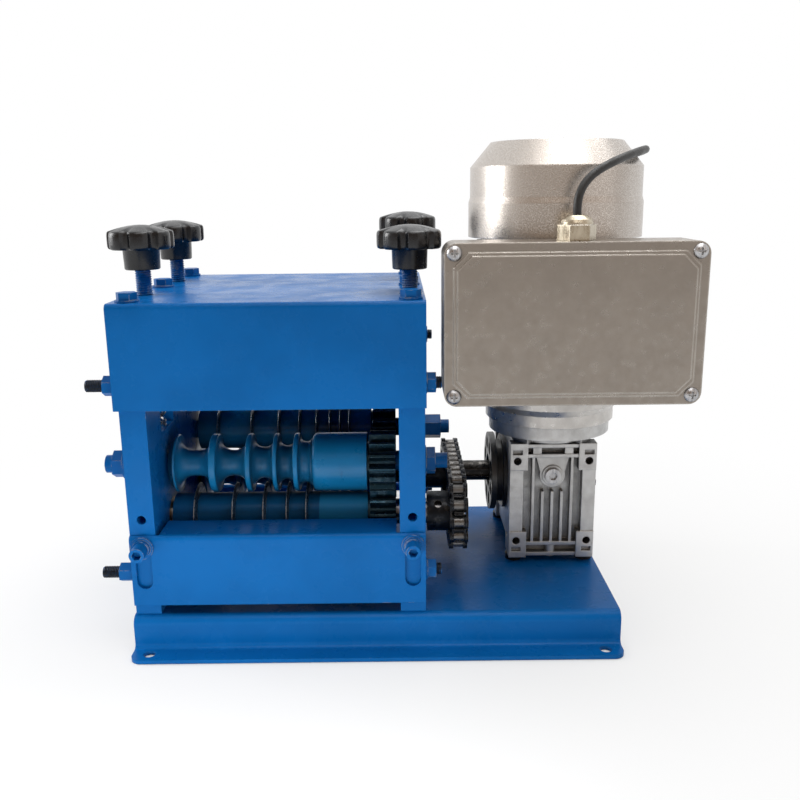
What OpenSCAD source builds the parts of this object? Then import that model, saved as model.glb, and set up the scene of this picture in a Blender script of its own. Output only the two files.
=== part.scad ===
/* [Base] */
// Height of the folded base above the bench
base_h = 28; // [24:1:40]
// Thickness of the base sheet
base_t = 3; // [2:0.5:4]
// Outer radius of the base's folded edges
base_bend_r = 7; // [4:0.5:9]
// Depth of each foot flange
flange_d = 18; // [16:1:26]
// Diameter of the foot holes
foot_hole_d = 9; // [6:0.5:11]
// Distance of the foot holes from the base's ends
foot_hole_inset = 13; // [10:1:30]
// Strip of base to the right of the gearbox
base_end_margin = 2.5; // [1:0.5:40]
// Strip of base behind the side plates
base_rear_margin = 12; // [8:1:40]

/* [Side plates] */
// Thickness of the side plates
plate_t = 19; // [17:1:24]
// Depth of the side plates, front to back
plate_d = 214; // [212:1:240]
// Height of the side plates
plate_h = 231; // [222:1:260]
// Clear width between the side plates
frame_in = 180; // [176:1:220]
// Strip of base to the left of the left plate
plate_end_gap = 1; // [0.5:0.5:20]
// Setback of the plates from the base's front wall
plate_setback = 6; // [5:1:20]
// Width of the windows that guide the sliding blocks
window_w = 36; // [30:1:42]
// Height of solid plate above the windows
window_bridge = 36; // [26:1:44]

/* [Top cover] */
// Thickness of the cover sheet
cover_t = 3; // [2:0.5:4]
// Height of the front and rear aprons
apron_h = 76; // [50:1:90]
// Overhang of the cover at the left
cover_left = 3; // [0:0.5:6]
// Overhang of the cover at the right
cover_right = 1; // [0:0.5:6]

/* [Rollers] */
// Distance of the front roller pair behind the plate fronts
roller_setback = 54; // [52:1:60]
// Outside diameter of the grooved rollers
roller_d = 45.5; // [40:0.5:46]
// Diameter at the bottom of the wire grooves
groove_floor_d = 20; // [18.5:0.5:22]
// Diameter of the cutting discs
blade_d = 49; // [46:0.5:51]
// Thickness of the cutting discs
blade_t = 2; // [1:0.25:3]
// Diameter of the spacers between the front cutting discs
front_spacer_d = 33; // [28:1:36]
// Diameter of the spacers between the rear cutting discs
rear_spacer_d = 36; // [28:1:37]
// Diameter of the fixed axles of the upper rollers
axle_d = 16; // [14:1:17]
// Diameter of the lower roller shafts
shaft_d = 20; // [18.5:0.5:22]
// Upward travel of the upper rollers
roller_lift = 5; // [3:0.5:6]

/* [Gears and chain] */
// Tooth module of the roller gears
gear_module = 3; // [3:0.1:3.2]
// Teeth on each roller gear
gear_teeth = 14; // [14:1:15]
// Face width of the roller gears
gear_w = 20; // [14:1:24]
// Links in the drive chain
chain_links = 28; // [26:2:30]
// Pitch of the drive chain
chain_pitch = 12.7; // [12:0.1:13.4]
// Teeth on each sprocket
sprocket_teeth = 12; // [12:2:14]

/* [Knobs] */
// Largest diameter of the star knobs
knob_d = 49; // [40:1:49]
// Diameter of the knob studs
stud_d = 12; // [10:1:13]
// Visible stud between the cover and the knob
stud_show = 19; // [12:1:30]

/* [Lower panel] */
// Thickness of the panel sheet
panel_t = 3; // [2:0.5:4]
// Height of the panel's front face
panel_h = 55; // [48:1:60]
// Gap between the base and the panel's lower edge
panel_gap = 8.5; // [4:0.5:10]
// Depth of the panel's top flange behind the plate fronts
panel_flange = 28; // [15:1:28]
// Width of the panel's slots
slot_w = 11.5; // [9:0.5:13]
// Upward travel of the panel in its slots
panel_lift = 24; // [10:1:26]

/* [Gearbox and motor] */
// Width of the gearbox along its output shaft
gearbox_w = 71; // [66:1:80]
// Height of the gearbox
gearbox_h = 100; // [96:1:104]
// Height of the output axis above the gearbox's middle
output_rise = 4.5; // [0:0.5:6]
// Height of the spacers under the gearbox
gearbox_foot = 5; // [3:0.5:8]
// Gap between the right plate and the gearbox
drive_gap = 72.5; // [66:0.5:90]
// Diameter of the output shaft
output_d = 18; // [15:0.5:18]
// Diameter of the motor and gearbox flanges
flange_dia = 106; // [100:1:112]
// Height of the motor's finned frame
motor_frame_h = 121; // [112:1:135]
// Largest diameter of the fan cover
fan_cover_d = 138; // [136:1:150]
// Height of the fan cover
fan_cover_h = 73; // [66:1:90]

/* [Control box] */
// Width of the control box
box_w = 183; // [170:1:190]
// Height of the control box
box_h = 115; // [105:1:118]
// Depth of the control box without its lid
box_d = 34; // [28:1:36]
// Thickness of the lid's rim
lid_t = 7.5; // [5:0.5:10]
// Wall thickness of the box
box_wall = 3.5; // [2:0.5:5]

/* [Power lead] */
// Diameter of the power lead
cord_d = 6; // [5:0.5:6]
// Radius of the outer turn of the put-away coil
coil_r = 40; // [38:1:44]

/* [Hidden] */
$fn = 64;
// Clearances: running fit, loose fit within one body, and gap between moving pieces
run_gap = 0.05;
fit_gap = 0.05;
slide_gap = 0.3;

// Plan of the base and the two side plates
base_w = plate_end_gap + 2 * plate_t + frame_in + drive_gap + gearbox_w + base_end_margin;
base_d = plate_setback + plate_d + base_rear_margin;
left_out = -base_w / 2 + plate_end_gap;
left_in = left_out + plate_t;
right_in = left_in + frame_in;
right_out = right_in + plate_t;
plate_mid = [left_out + plate_t / 2, right_in + plate_t / 2];
front_y = -base_d / 2 + plate_setback;
rear_y = front_y + plate_d;
deck_z = base_h;
plate_top = deck_z + plate_h;
flange_corner_r = 8;
flange_fillet_r = 4;
foot_hole_x = base_w / 2 - foot_hole_inset;
foot_hole_y = base_d / 2 + flange_d / 2;

// Roller axes
roller_pitch = (chain_links - sprocket_teeth) / 2 * chain_pitch;
front_axis_y = front_y + roller_setback;
rear_axis_y = front_axis_y + roller_pitch;
axes_y = [front_axis_y, rear_axis_y];
gear_pd = gear_module * gear_teeth;
lower_z = deck_z + gearbox_foot + gearbox_h / 2 + output_rise;
upper_z = lower_z + gear_pd;

// Sliding blocks, springs and pressure pads in the plate windows
block_below = 20;
block_above = 30;
window_z0 = upper_z - block_below;
window_z1 = plate_top - window_bridge;
pad_room = 28.5;
block_top = upper_z + block_above;
spring_h = window_z1 - block_top - pad_room;
spring_wire = 2.6;
spring_r = 7.4;
spring_pitch = 5.6;
spring_turns = floor(spring_h / spring_pitch);
pad_z = block_top + spring_h;
pad_h = 6;
pad_pin_h = 8;
stud_z0 = pad_z + pad_h;

// Bolts, rods and nuts
bolt_d = 8;
bolt_af = 13;
bolt_head_h = 5.3;
bolt_flange_d = 17;
bolt_grip = 20;
nut_h = 6.5;
jam_nut_h = 4.5;
washer_t = 1.6;
axle_thread_d = 12;
axle_nut_af = 19;
cover_bolt_y = [10, plate_d / 2, plate_d - 10];
plate_bolt_y = [22, plate_d - 22];
tie_rod_yz = [[12, 173.5], [12, 29], [plate_d - 14, 178], [plate_d - 14, 29]];
tie_rod_left = 25.7;
tie_rod_right = 12.2;
guide_hole_d = 6.8;
guide_hole_z = deck_z + 75;
guide_hole_depth = 20;
bush_wall = 4;

// Layout along the rollers, from the drum's left end
drum_gap = 3;
drum_x0 = left_in + drum_gap;
gear_gap = 3;
gear_boss = 1.9;
gear_x1 = right_in - gear_gap;
gear_x0 = gear_x1 - gear_w;
drum_len = gear_x0 - gear_boss - drum_x0;
drum_edge_r = 4.5;
crest_r = 1.3;
groove_mid = [18.2, 47.7, 71.4, 89.4, 104.5];
groove_w = [25.5, 22.4, 16.8, 12.2, 10];
groove_rise = [0, 0, 2, 3, 6];
groove_round = 10.5;
drum_bevel = 4;
fine_mid = [116, 125, 133];
fine_w = 5;
fine_floor_d = 32;
blade_bevel = 2.5;

// Chain and sprockets, proportioned on the chain pitch
chain_roller_d = 0.67 * chain_pitch;
chain_inner_w = 0.61 * chain_pitch;
chain_plate_h = 0.9 * chain_pitch;
chain_plate_t = 0.12 * chain_pitch;
chain_pin_d = 0.35 * chain_pitch;
chain_play = 0.15;
sprocket_r = chain_pitch / 2 / sin(180 / sprocket_teeth);
sprocket_tip = 0.21 * chain_pitch;
sprocket_w = chain_inner_w - 0.6;
tooth_flare = 1.66;
sprocket_hub_d = 31.5;
sprocket_x = right_out + 26.5;
hub_x0 = right_out + 2.5;
shaft_end_x = sprocket_x + sprocket_w / 2 + 2;
set_screw_d = 6;

// Star knob
knob_lobes = 7;
knob_hub_d = 27;
knob_hub_h = 15;
knob_rim_h = 12.8;
knob_dome_h = 5;
// Lead of the studs, and the turns each knob is screwed out, front and rear, left and right
stud_lead = 1.75;
knob_out = [[0, -1], [0, 3]];
cover_top = plate_top + cover_t;
knob_z0 = cover_top + stud_show;
knob_rim_z = knob_z0 + knob_hub_h;
knob_dome_r = (knob_d * knob_d / 4 + knob_dome_h * knob_dome_h) / (2 * knob_dome_h);

// Lower panel and its clamp screws
panel_back_y = front_y - slide_gap;
panel_front_y = panel_back_y - panel_t;
panel_z0 = deck_z + panel_gap;
panel_z1 = panel_z0 + panel_h;
panel_bend_r = 4;
slot_top_z = panel_z1 - 3;
screw_z = slot_top_z - slot_w / 2;
slot_spare = 3;
slot_len = slot_w + panel_lift + slot_spare;
panel_side_gap = 2.5;
screw_proud = 15;
screw_head_d = 11;
screw_head_h = 10.5;
screw_socket_af = 6;
screw_socket_h = 5;
screw_washer_d = 17;

// Gearbox around its output axis
gearbox_x = right_out + drive_gap + gearbox_w / 2;
gearbox_z0 = deck_z + gearbox_foot;
gearbox_front = 71.5;
gearbox_back = 50;
worm_offset = 40;
worm_y = rear_axis_y - worm_offset;
column_w = 11;
pad_w = 14.5;
pad_tall = 23;
face_depth = 9;
rib_t = 2.2;
rib_pitch = 8;
rib_count = 5;
plug_z = gearbox_z0 + 0.72 * gearbox_h;
plug_boss_r = 8.5;
foot_bolt_x = gearbox_w / 2 - 5.5;
foot_bolt_y = [-gearbox_front + 12, gearbox_back - 12];
face_hole_d = 6.5;
face_hole_z = 15;
face_hole_x = 29.5;
face_bars = [1, 10.5, 87.5, 96];
side_wall_t = 12;
wheel_r = 29.5;
wheel_w = 22;
wheel_hub_d = 30;
wheel_room = 4;
worm_d = 19.4;
worm_bore_d = 26;
motor_shaft_d = 14;
side_cover_d = 70;
side_cover_h = 11;
side_flange_h = 5;

// Motor above the gearbox, from the gearbox top upwards
gearbox_top = gearbox_z0 + gearbox_h;
input_neck_h = 7;
input_flange_h = 11;
shield_z = gearbox_top + input_neck_h + input_flange_h;
shield_flange_h = 10;
shield_h = 24;
frame_z = shield_z + shield_h;
motor_core_r = 58;
motor_bore_r = 52;
fin_r = 63;
fin_t = 2.4;
fin_count = 32;
rear_shield_z = frame_z + motor_frame_h;
rear_shield_h = 12;
cover_lip = 3;
cover_lug_w = 16;
shaft_seat = 40;
shaft_tail = 40;
fan_cover_z = rear_shield_z + cover_lip;
fan_cover_t = 1.6;
fan_step = 1.2;
fan_step_z = 29;
fan_chamfer_h = 19;
fan_top_r = 52;
fan_top_z = fan_cover_z + fan_cover_h;
grille_slots = 24;
grille_in_r = 20;
grille_out_r = 48;
grille_w = 3;
fan_blades = 8;
fan_gap = 6;
fan_h = 26;
fan_hub_d = 34;
fan_disc_r = 46;
fan_disc_t = 2.5;
fan_tip_r = 52;
fan_blade_t = 3;
rotor_r = 34;
rotor_h = 80;
stator_r = 35;

// Control box in front of the motor
box_pad_t = 13.6;
box_back_y = worm_y - motor_core_r - box_pad_t;
box_front_y = box_back_y - box_d;
box_x = gearbox_x - 3;
box_z0 = deck_z + 157.5;
box_corner_r = 9;
box_boss_d = 11;
lid_panel_t = 1.25;
lid_panel_inset = 6.5;
lid_step_inset = 2.4;
lid_hollow_inset = 13;
lid_panel_chamfer = 10;
lid_screw_inset = 7;
lid_screw_d = 11;
lid_screw_h = 3;
lid_screw_grip = 14;
lid_shank_d = 4;
box_pad_w = 84;
box_pad_h = 70;
gland_x = gearbox_x - 0.5;
gland_y = box_front_y + 12;
gland_hex_h = 11;
gland_h = 17.5;
gland_af = 24;
gland_thread_d = 16;

// Route of the power lead, from the gland over the fan cover to the coil behind the base
gland_top = [gland_x, gland_y, box_z0 + box_h + gland_h];
floor_y = base_d / 2 + flange_d + 16;
coil_mid = [-70, floor_y + coil_r];
lead_points = [
    [144, -88, 318], [144, -88, 324.5], [145.3, -87.3, 332], [148.9, -85.5, 339], [155, -82.4, 345.2],
    [164, -77.2, 350.6], [177, -66.5, 356], [193, -48, 361], [208, -20, 364.5], [214, 10, 364.5],
    [211, 42, 361], [189, 70, 345], [166, 83, 317], [152, 90, 270], [147, 94, 220],
    [145, 99, 160], [143, 107, 100], [140, 120, 55], [134, 134, 28], [124, 144, 12],
    [110, 149, 5], [92, 150, 3], [60, 150, 3], [20, 150, 3], [-20, 150, 3], [-64, 150, 3]];
lead_last = len(lead_points) - 1;
lead_top = 9;
lead_floor = 20;
function lead_share(i) = max(0, min(1, (lead_floor - i) / (lead_floor - lead_top)));
lead_shift = gland_top - lead_points[0];
floor_shift = [0, floor_y - lead_points[lead_last][1], cord_d / 2 - lead_points[lead_last][2]];
cord_route = [for (i = [0:lead_last])
    lead_points[i] + lead_share(i) * lead_shift + (1 - lead_share(i)) * floor_shift];
coil_step = cord_d + 0.7;
coil_turns = 2;
coil_tail = 26;
cord_sides = 10;
coil_sides = 6;
coil_rings = 24;
relief_l = 20;
plug_l = 34;
plug_w = 24;
plug_pin_l = 19;
plug_pin_d = 4.8;
plug_pin_gap = 19;

blue = "RoyalBlue";
steel = "Gainsboro";
dark = "DimGray";
silver = "Silver";
black = "Black";

// Round bar along X
module rod_x(d, x0, x1, y, z) {
    translate([x0, y, z]) rotate([0, 90, 0]) cylinder(d = d, h = x1 - x0);
}

// Hexagon along X, across flats af
module hex_x(af, x0, x1, y, z) {
    translate([x0, y, z]) rotate([0, 90, 0]) cylinder(d = af / cos(30), h = x1 - x0, $fn = 6);
}

// Flat profile drawn in Y and Z, extruded along X
module along_x(x0, x1) {
    translate([x0, 0, 0]) rotate([90, 0, 90]) linear_extrude(x1 - x0) children();
}

// Profile drawn as radius over length, turned about an axis along X
module turned_x(x0, y, z) {
    translate([x0, y, z]) rotate([0, 90, 0]) rotate_extrude() children();
}

// Box with its two upper corners rounded, standing on the profile's first axis
module round_top(w, h, r) {
    translate([-w / 2, 0]) square([w, h - r]);
    translate([-w / 2 + r, 0]) square([w - 2 * r, h]);
    for (s = [-1, 1]) translate([s * (w / 2 - r), h - r]) circle(r);
}

// Rectangle with four round corners, centred
module round_rect(w, h, r) {
    square([w - 2 * r, h], center = true);
    square([w, h - 2 * r], center = true);
    for (sx = [-1, 1], sy = [-1, 1]) translate([sx * (w / 2 - r), sy * (h / 2 - r)]) circle(r);
}

// Tube along a path: frames carried along, triangles on the skin and the two ends
function unit(v) = v / norm(v);
function path_dir(p, i) = unit(p[min(i + 1, len(p) - 1)] - p[max(i - 1, 0)]);
function carry(n, t) = unit(n - (n * t) * t);
function side_start(t) = carry(abs(t[2]) < 0.9 ? [0, 0, 1] : [1, 0, 0], t);
function path_sides(p) = [
    for (i = 0, n = side_start(path_dir(p, 0)); i < len(p);
         i = i + 1, n = carry(n, path_dir(p, min(i, len(p) - 1)))) n];
function tube_points(p, r, k) = let (n = path_sides(p)) [
    for (i = [0:len(p) - 1], j = [0:k - 1])
        p[i] + r * (cos(360 * j / k) * n[i] + sin(360 * j / k) * cross(path_dir(p, i), n[i]))];
function tube_faces(m, k) = concat(
    [for (i = [0:m - 2], j = [0:k - 1]) [i * k + j, (i + 1) * k + j, i * k + (j + 1) % k]],
    [for (i = [0:m - 2], j = [0:k - 1])
        [i * k + (j + 1) % k, (i + 1) * k + j, (i + 1) * k + (j + 1) % k]],
    [for (j = [1:k - 2]) [0, j, j + 1]],
    [for (j = [1:k - 2]) [(m - 1) * k, (m - 1) * k + j + 1, (m - 1) * k + j]]);
function path_steps(p) = [for (i = [1:len(p) - 1]) norm(p[i] - p[i - 1])];
function path_length(p) = path_steps(p) * [for (d = path_steps(p)) 1];
function least_gap(p, d, skip) = min([
    for (i = [0:len(p) - 1], j = [i + skip:1:len(p) - 1]) norm(p[i] - p[j])]) - d;

module tube(p, d, k) {
    polyhedron(points = tube_points(p, d / 2, k), faces = tube_faces(len(p), k), convexity = 10);
}

// Folded base: hat section open at both ends, with drilled foot flanges
module base_profile() {
    difference() {
        round_top(base_d, base_h, base_bend_r);
        round_top(base_d - 2 * base_t, base_h - base_t, base_bend_r - base_t);
    }
    for (s = [0, 1]) mirror([s, 0]) translate([base_d / 2 - base_t, 0]) {
        square([flange_d + base_t, base_t]);
        translate([base_t, base_t]) difference() {
            square(flange_fillet_r);
            translate([flange_fillet_r, flange_fillet_r]) circle(flange_fillet_r);
        }
    }
}

module flange_corner() {
    difference() {
        translate([0, 0, -1]) cube([flange_corner_r + 1, flange_corner_r + 1, base_t + 2]);
        translate([0, 0, -2]) cylinder(r = flange_corner_r, h = base_t + 4);
    }
}

module base() color(blue) difference() {
    along_x(-base_w / 2, base_w / 2) base_profile();
    for (sx = [0, 1], sy = [0, 1]) mirror([sx, 0, 0]) mirror([0, sy, 0]) {
        translate([foot_hole_x, foot_hole_y, -1]) cylinder(d = foot_hole_d, h = base_t + 2);
        translate([base_w / 2 - flange_corner_r, base_d / 2 + flange_d - flange_corner_r, 0])
            flange_corner();
    }
    for (x = plate_mid, y = plate_bolt_y) translate([x, front_y + y, base_h - base_t - 1])
        cylinder(d = bolt_d + 2 * fit_gap, h = base_t + 2);
    for (sx = [-1, 1], y = foot_bolt_y)
        translate([gearbox_x + sx * foot_bolt_x, rear_axis_y + y, base_h - base_t - 1])
        cylinder(d = face_hole_d, h = base_t + 2);
}

// Thick side plate with block windows, shaft bores and tapped holes
module side_plate(x0) color(blue) difference() {
    translate([x0, front_y, deck_z]) cube([plate_t, plate_d, plate_h]);
    for (y = axes_y) {
        translate([x0 - 1, y - window_w / 2, window_z0])
            cube([plate_t + 2, window_w, window_z1 - window_z0]);
        rod_x(shaft_d + 2 * bush_wall, x0 - 1, x0 + plate_t + 1, y, lower_z);
        translate([x0 + plate_t / 2, y, window_z1 - 1])
            cylinder(d = stud_d + 2 * run_gap, h = window_bridge + 2);
    }
    for (p = tie_rod_yz)
        rod_x(bolt_d + 2 * fit_gap, x0 - 1, x0 + plate_t + 1, front_y + p[0], deck_z + p[1]);
    for (y = cover_bolt_y) translate([x0 + plate_t / 2, front_y + y, plate_top - bolt_grip])
        cylinder(d = bolt_d + 2 * fit_gap, h = bolt_grip + 1);
    for (y = plate_bolt_y) translate([x0 + plate_t / 2, front_y + y, deck_z - 1])
        cylinder(d = bolt_d + 2 * fit_gap, h = bolt_grip + 1);
    translate([x0 + plate_t / 2, front_y - 1, guide_hole_z]) rotate([-90, 0, 0])
        cylinder(d = guide_hole_d, h = guide_hole_depth + 1);
    translate([x0 + plate_t / 2, front_y - 1, screw_z]) rotate([-90, 0, 0])
        cylinder(d = bolt_d + 2 * fit_gap, h = bolt_grip + 1);
}

module left_plate() side_plate(left_out);

module right_plate() side_plate(right_in);

// Bent cover: flat top with a front and a rear apron
module top_cover() color(blue) difference() {
    translate([0, front_y + plate_d / 2, cover_top - apron_h])
        along_x(left_out - cover_left, right_out + cover_right)
        difference() {
            round_top(plate_d + 2 * cover_t, apron_h, cover_t + 1);
            translate([-plate_d / 2, -1]) square([plate_d, apron_h - cover_t + 1]);
        }
    for (x = plate_mid) {
        for (y = cover_bolt_y) translate([x, front_y + y, plate_top - 1])
            cylinder(d = bolt_d + 2 * fit_gap, h = cover_t + 2);
        for (y = axes_y) translate([x, y, plate_top - 1]) cylinder(d = stud_d + 1, h = cover_t + 2);
    }
}

// Hexagon bolt with a pressed flange, head upwards
module flange_bolt(grip) {
    cylinder(d = bolt_flange_d, h = washer_t);
    cylinder(d = bolt_af / cos(30), h = washer_t + bolt_head_h, $fn = 6);
    translate([0, 0, -grip]) cylinder(d = bolt_d, h = grip + 1);
}

module frame_bolts() color(blue) {
    for (x = plate_mid) {
        for (y = cover_bolt_y) translate([x, front_y + y, cover_top])
            flange_bolt(cover_t + bolt_grip - 1);
        for (y = plate_bolt_y) translate([x, front_y + y, base_h - base_t]) mirror([0, 0, 1])
            flange_bolt(base_t + bolt_grip - 1);
    }
}

// Flanged nut on a rod, its flange at x and its body towards the side dir
module rod_nut(x, dir, y, z, d, af, h) {
    translate([x, y, z]) rotate([0, dir * 90, 0]) difference() {
        union() {
            cylinder(d = af * 1.25, h = washer_t);
            cylinder(d = af / cos(30), h = washer_t + h, $fn = 6);
        }
        translate([0, 0, -1]) cylinder(d = d + 2 * fit_gap, h = washer_t + h + 2);
    }
}

module tie_rods() color(blue) for (p = tie_rod_yz) {
    y = front_y + p[0];
    z = deck_z + p[1];
    rod_x(bolt_d, left_out - tie_rod_left, right_out + tie_rod_right, y, z);
    rod_nut(left_out, -1, y, z, bolt_d, bolt_af, nut_h + jam_nut_h);
    rod_nut(right_out, 1, y, z, bolt_d, bolt_af, nut_h);
}

module lower_bushes() color("Goldenrod") for (x = [left_out, right_in], y = axes_y) difference() {
    rod_x(shaft_d + 2 * bush_wall - 2 * fit_gap, x, x + plate_t, y, lower_z);
    rod_x(shaft_d + 2 * run_gap, x - 1, x + plate_t + 1, y, lower_z);
}

// Height-adjustable front panel: face, top flange and two upright slots
module lower_panel() color(blue) difference() {
    union() {
        along_x(left_out, right_out) translate([panel_front_y, panel_z0]) {
            square([panel_t, panel_h - panel_bend_r]);
            translate([panel_bend_r, panel_h - panel_bend_r]) intersection() {
                circle(panel_bend_r);
                translate([-panel_bend_r, 0]) square([panel_t, panel_bend_r]);
            }
        }
        along_x(left_in + panel_side_gap, right_in - panel_side_gap) translate([panel_front_y, panel_z0]) {
            translate([panel_bend_r, panel_h - panel_bend_r]) intersection() {
                circle(panel_bend_r);
                translate([-panel_bend_r, 0]) square(panel_bend_r);
            }
            translate([panel_bend_r, panel_h - panel_t])
                square([panel_flange + slide_gap + panel_t - panel_bend_r, panel_t]);
        }
    }
    for (x = plate_mid) {
        for (z = [slot_w / 2, slot_len - slot_w / 2]) translate([x, panel_front_y - 1, slot_top_z - z])
            rotate([-90, 0, 0]) cylinder(d = slot_w, h = panel_t + 1 + slide_gap);
        translate([x - slot_w / 2, panel_front_y - 1, slot_top_z - slot_len + slot_w / 2])
            cube([slot_w, panel_t + 1 + slide_gap, slot_len - slot_w]);
    }
}

// Socket-head clamp screws with washers, in front of the panel slots
module panel_screws() color(blue) for (x = plate_mid) translate([x, panel_front_y - slide_gap, screw_z])
    rotate([90, 0, 0]) {
        difference() {
            union() {
                translate([0, 0, -slide_gap - panel_t - bolt_grip + 2])
                    cylinder(d = bolt_d, h = screw_proud + panel_t + bolt_grip - 2);
                translate([0, 0, screw_proud - screw_head_h])
                    cylinder(d = screw_head_d, h = screw_head_h);
            }
            translate([0, 0, screw_proud - screw_socket_h])
                cylinder(d = screw_socket_af / cos(30), h = screw_socket_h + 1, $fn = 6);
        }
        difference() {
            union() {
                cylinder(d = screw_washer_d, h = washer_t);
                cylinder(d = screw_washer_d - 4, h = screw_proud - screw_head_h);
            }
            translate([0, 0, -1]) cylinder(d = bolt_d + 2 * fit_gap, h = screw_proud);
        }
    }

// Sliding bearing blocks of one upper roller, in the windows of both plates
module bearing_blocks(y) color(blue) for (x = [left_out, right_in]) difference() {
    translate([x, y - window_w / 2 + slide_gap, window_z0 + slide_gap])
        cube([plate_t, window_w - 2 * slide_gap, block_top - window_z0 - slide_gap]);
    rod_x(axle_d + 2 * fit_gap, x - 1, x + plate_t + 1, y, upper_z);
}

module front_blocks() bearing_blocks(front_axis_y);

module rear_blocks() bearing_blocks(rear_axis_y);

// Fixed axle with threaded ends, left collar and clamp nuts
module clamped_axle(y, right_nut_h, right_end) color(blue) {
    collar_l = 14;
    left_nut_h = 8.4;
    left_end = 30.5;
    left_thread_d = 14;
    seat = 0.5;
    rod_x(axle_d, left_out - seat, right_out + seat, y, upper_z);
    rod_x(left_thread_d, left_out - left_end, left_out - seat, y, upper_z);
    rod_x(axle_thread_d, right_out + seat, right_out + right_end, y, upper_z);
    difference() {
        rod_x(axle_d + 8, left_out - seat - collar_l, left_out - seat, y, upper_z);
        rod_x(left_thread_d + 2 * fit_gap, left_out - seat - collar_l - 1, left_out, y, upper_z);
    }
    rod_nut(left_out - seat - collar_l, -1, y, upper_z, left_thread_d, axle_nut_af, left_nut_h);
    rod_nut(right_out + seat, 1, y, upper_z, axle_thread_d, axle_nut_af, right_nut_h);
}

module front_axle() clamped_axle(front_axis_y, 7, 18.7);

module rear_axle() clamped_axle(rear_axis_y, 16, 25.7);

// Helical pressure springs between a pair of blocks and their pads
function spring_path(x, y, tall) = [
    for (i = [0:spring_turns * 8]) let (a = 45 * i, s = i / (spring_turns * 8)) [
        x + spring_r * cos(a), y + spring_r * sin(a),
        block_top + slide_gap + spring_wire / 2 + s * (tall - 2 * slide_gap - spring_wire)]];

module pressure_springs(y, out) color(steel) for (i = [0, 1])
    tube(spring_path(plate_mid[i], y, spring_h + stud_lead * out[i]), spring_wire, 6);

module front_springs() pressure_springs(front_axis_y, knob_out[0]);

module rear_springs() pressure_springs(rear_axis_y, knob_out[1]);

// Half profile of a drum with round-bottomed grooves, radius over length
module groove_cut(mid, w, floor_r, round_r) {
    r = min(round_r, w / 2 - 0.01);
    translate([floor_r + r, mid - w / 2]) square([roller_d, w]);
    translate([floor_r, mid - w / 2 + r]) square([roller_d, w - 2 * r]);
    for (s = [-1, 1]) translate([floor_r + r, mid + s * (w / 2 - r)]) circle(r);
}

// Rounding of the crests on both sides of a groove
module crest_cut(mid, w) {
    for (s = [0, 1]) translate([roller_d / 2 - crest_r, mid]) mirror([0, s]) translate([0, w / 2])
        difference() {
            translate([0, -1]) square([crest_r + 1, crest_r + 1]);
            translate([0, crest_r]) circle(crest_r);
        }
}

module drum_profile(bore_d, fine) {
    plain_0 = groove_mid[4] + groove_w[4] / 2;
    difference() {
        translate([bore_d / 2, 0]) square([(roller_d - bore_d) / 2, drum_len]);
        for (i = [0:len(groove_mid) - 1])
            groove_cut(groove_mid[i], groove_w[i], groove_floor_d / 2 + groove_rise[i], groove_round);
        for (i = [0:len(groove_mid) - 1]) crest_cut(groove_mid[i], groove_w[i]);
        polygon([[roller_d / 2 - drum_bevel - 1, -1], [roller_d / 2 + 1, drum_bevel + 1],
            [roller_d / 2 + 1, -1]]);
        if (fine) for (m = fine_mid) groove_cut(m, fine_w, fine_floor_d / 2, fine_w);
        if (!fine) translate([roller_d / 2 - drum_edge_r, plain_0]) difference() {
            translate([0, -1]) square([drum_edge_r + 1, drum_edge_r + 1]);
            translate([0, drum_edge_r]) circle(drum_edge_r);
        }
    }
}

module front_upper_roller() color(blue) turned_x(drum_x0, front_axis_y, upper_z)
    drum_profile(axle_d + 2 * run_gap, false);

module rear_lower_roller() color(blue) turned_x(drum_x0, rear_axis_y, lower_z)
    drum_profile(shaft_d * 0.85 + 2 * fit_gap, true);

// Straight-flanked gear tooth with relieved flanks, repeated round the rim
gear_backlash = 0.45;
function gear_half(r) = let (p = gear_pd / 2)
    (gear_module * PI / 4 - gear_backlash / 2 - (r - p) * (r > p ? 0.46 : 0.26)) / r * 180 / PI;
function gear_outline() = let (
    p = gear_pd / 2,
    rs = [p - 1.25 * gear_module, p - 0.4 * gear_module, p,
        p + 0.5 * gear_module, p + 0.95 * gear_module]) [
    for (i = [0:gear_teeth - 1], s = [-1, 1], k = [0:len(rs) - 1])
        let (r = rs[s < 0 ? k : len(rs) - 1 - k], a = 360 * i / gear_teeth + s * gear_half(r))
            [r * cos(a), r * sin(a)]];

// Gear with a short boss on one roller axis, turned by part of a tooth so that the pair meshes
module roller_gear(y, z, bore_d, phase) color(dark) translate([gear_x0, y, z]) rotate([0, 90, 0])
    difference() {
        union() {
            linear_extrude(gear_w) rotate(phase * 360 / gear_teeth) polygon(gear_outline());
            translate([0, 0, -gear_boss]) cylinder(d = gear_pd - 4 * gear_module, h = gear_boss + 1);
        }
        translate([0, 0, -gear_boss - 1]) cylinder(d = bore_d, h = gear_w + gear_boss + 2);
    }

lower_gear_phase = 0;
upper_gear_phase = 0.5 * (1 + gear_teeth % 2);

module front_upper_gear() roller_gear(front_axis_y, upper_z, axle_d + 2 * run_gap, upper_gear_phase);

module rear_upper_gear() roller_gear(rear_axis_y, upper_z, axle_d + 2 * run_gap, upper_gear_phase);

module front_lower_gear() roller_gear(front_axis_y, lower_z, shaft_d + 2 * fit_gap, lower_gear_phase);

module rear_lower_gear() roller_gear(rear_axis_y, lower_z, shaft_d + 2 * fit_gap, lower_gear_phase);

// Thin sharpened cutting discs at the given places along the drum
module cutting_discs(mids, y, z, bore_d) color(steel) for (m = mids)
    turned_x(drum_x0 + m - blade_t / 2, y, z) polygon([
        [bore_d / 2, 0], [blade_d / 2 - blade_bevel, 0], [blade_d / 2, blade_t * 0.4],
        [blade_d / 2, blade_t * 0.6], [blade_d / 2 - blade_bevel, blade_t], [bore_d / 2, blade_t]]);

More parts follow.
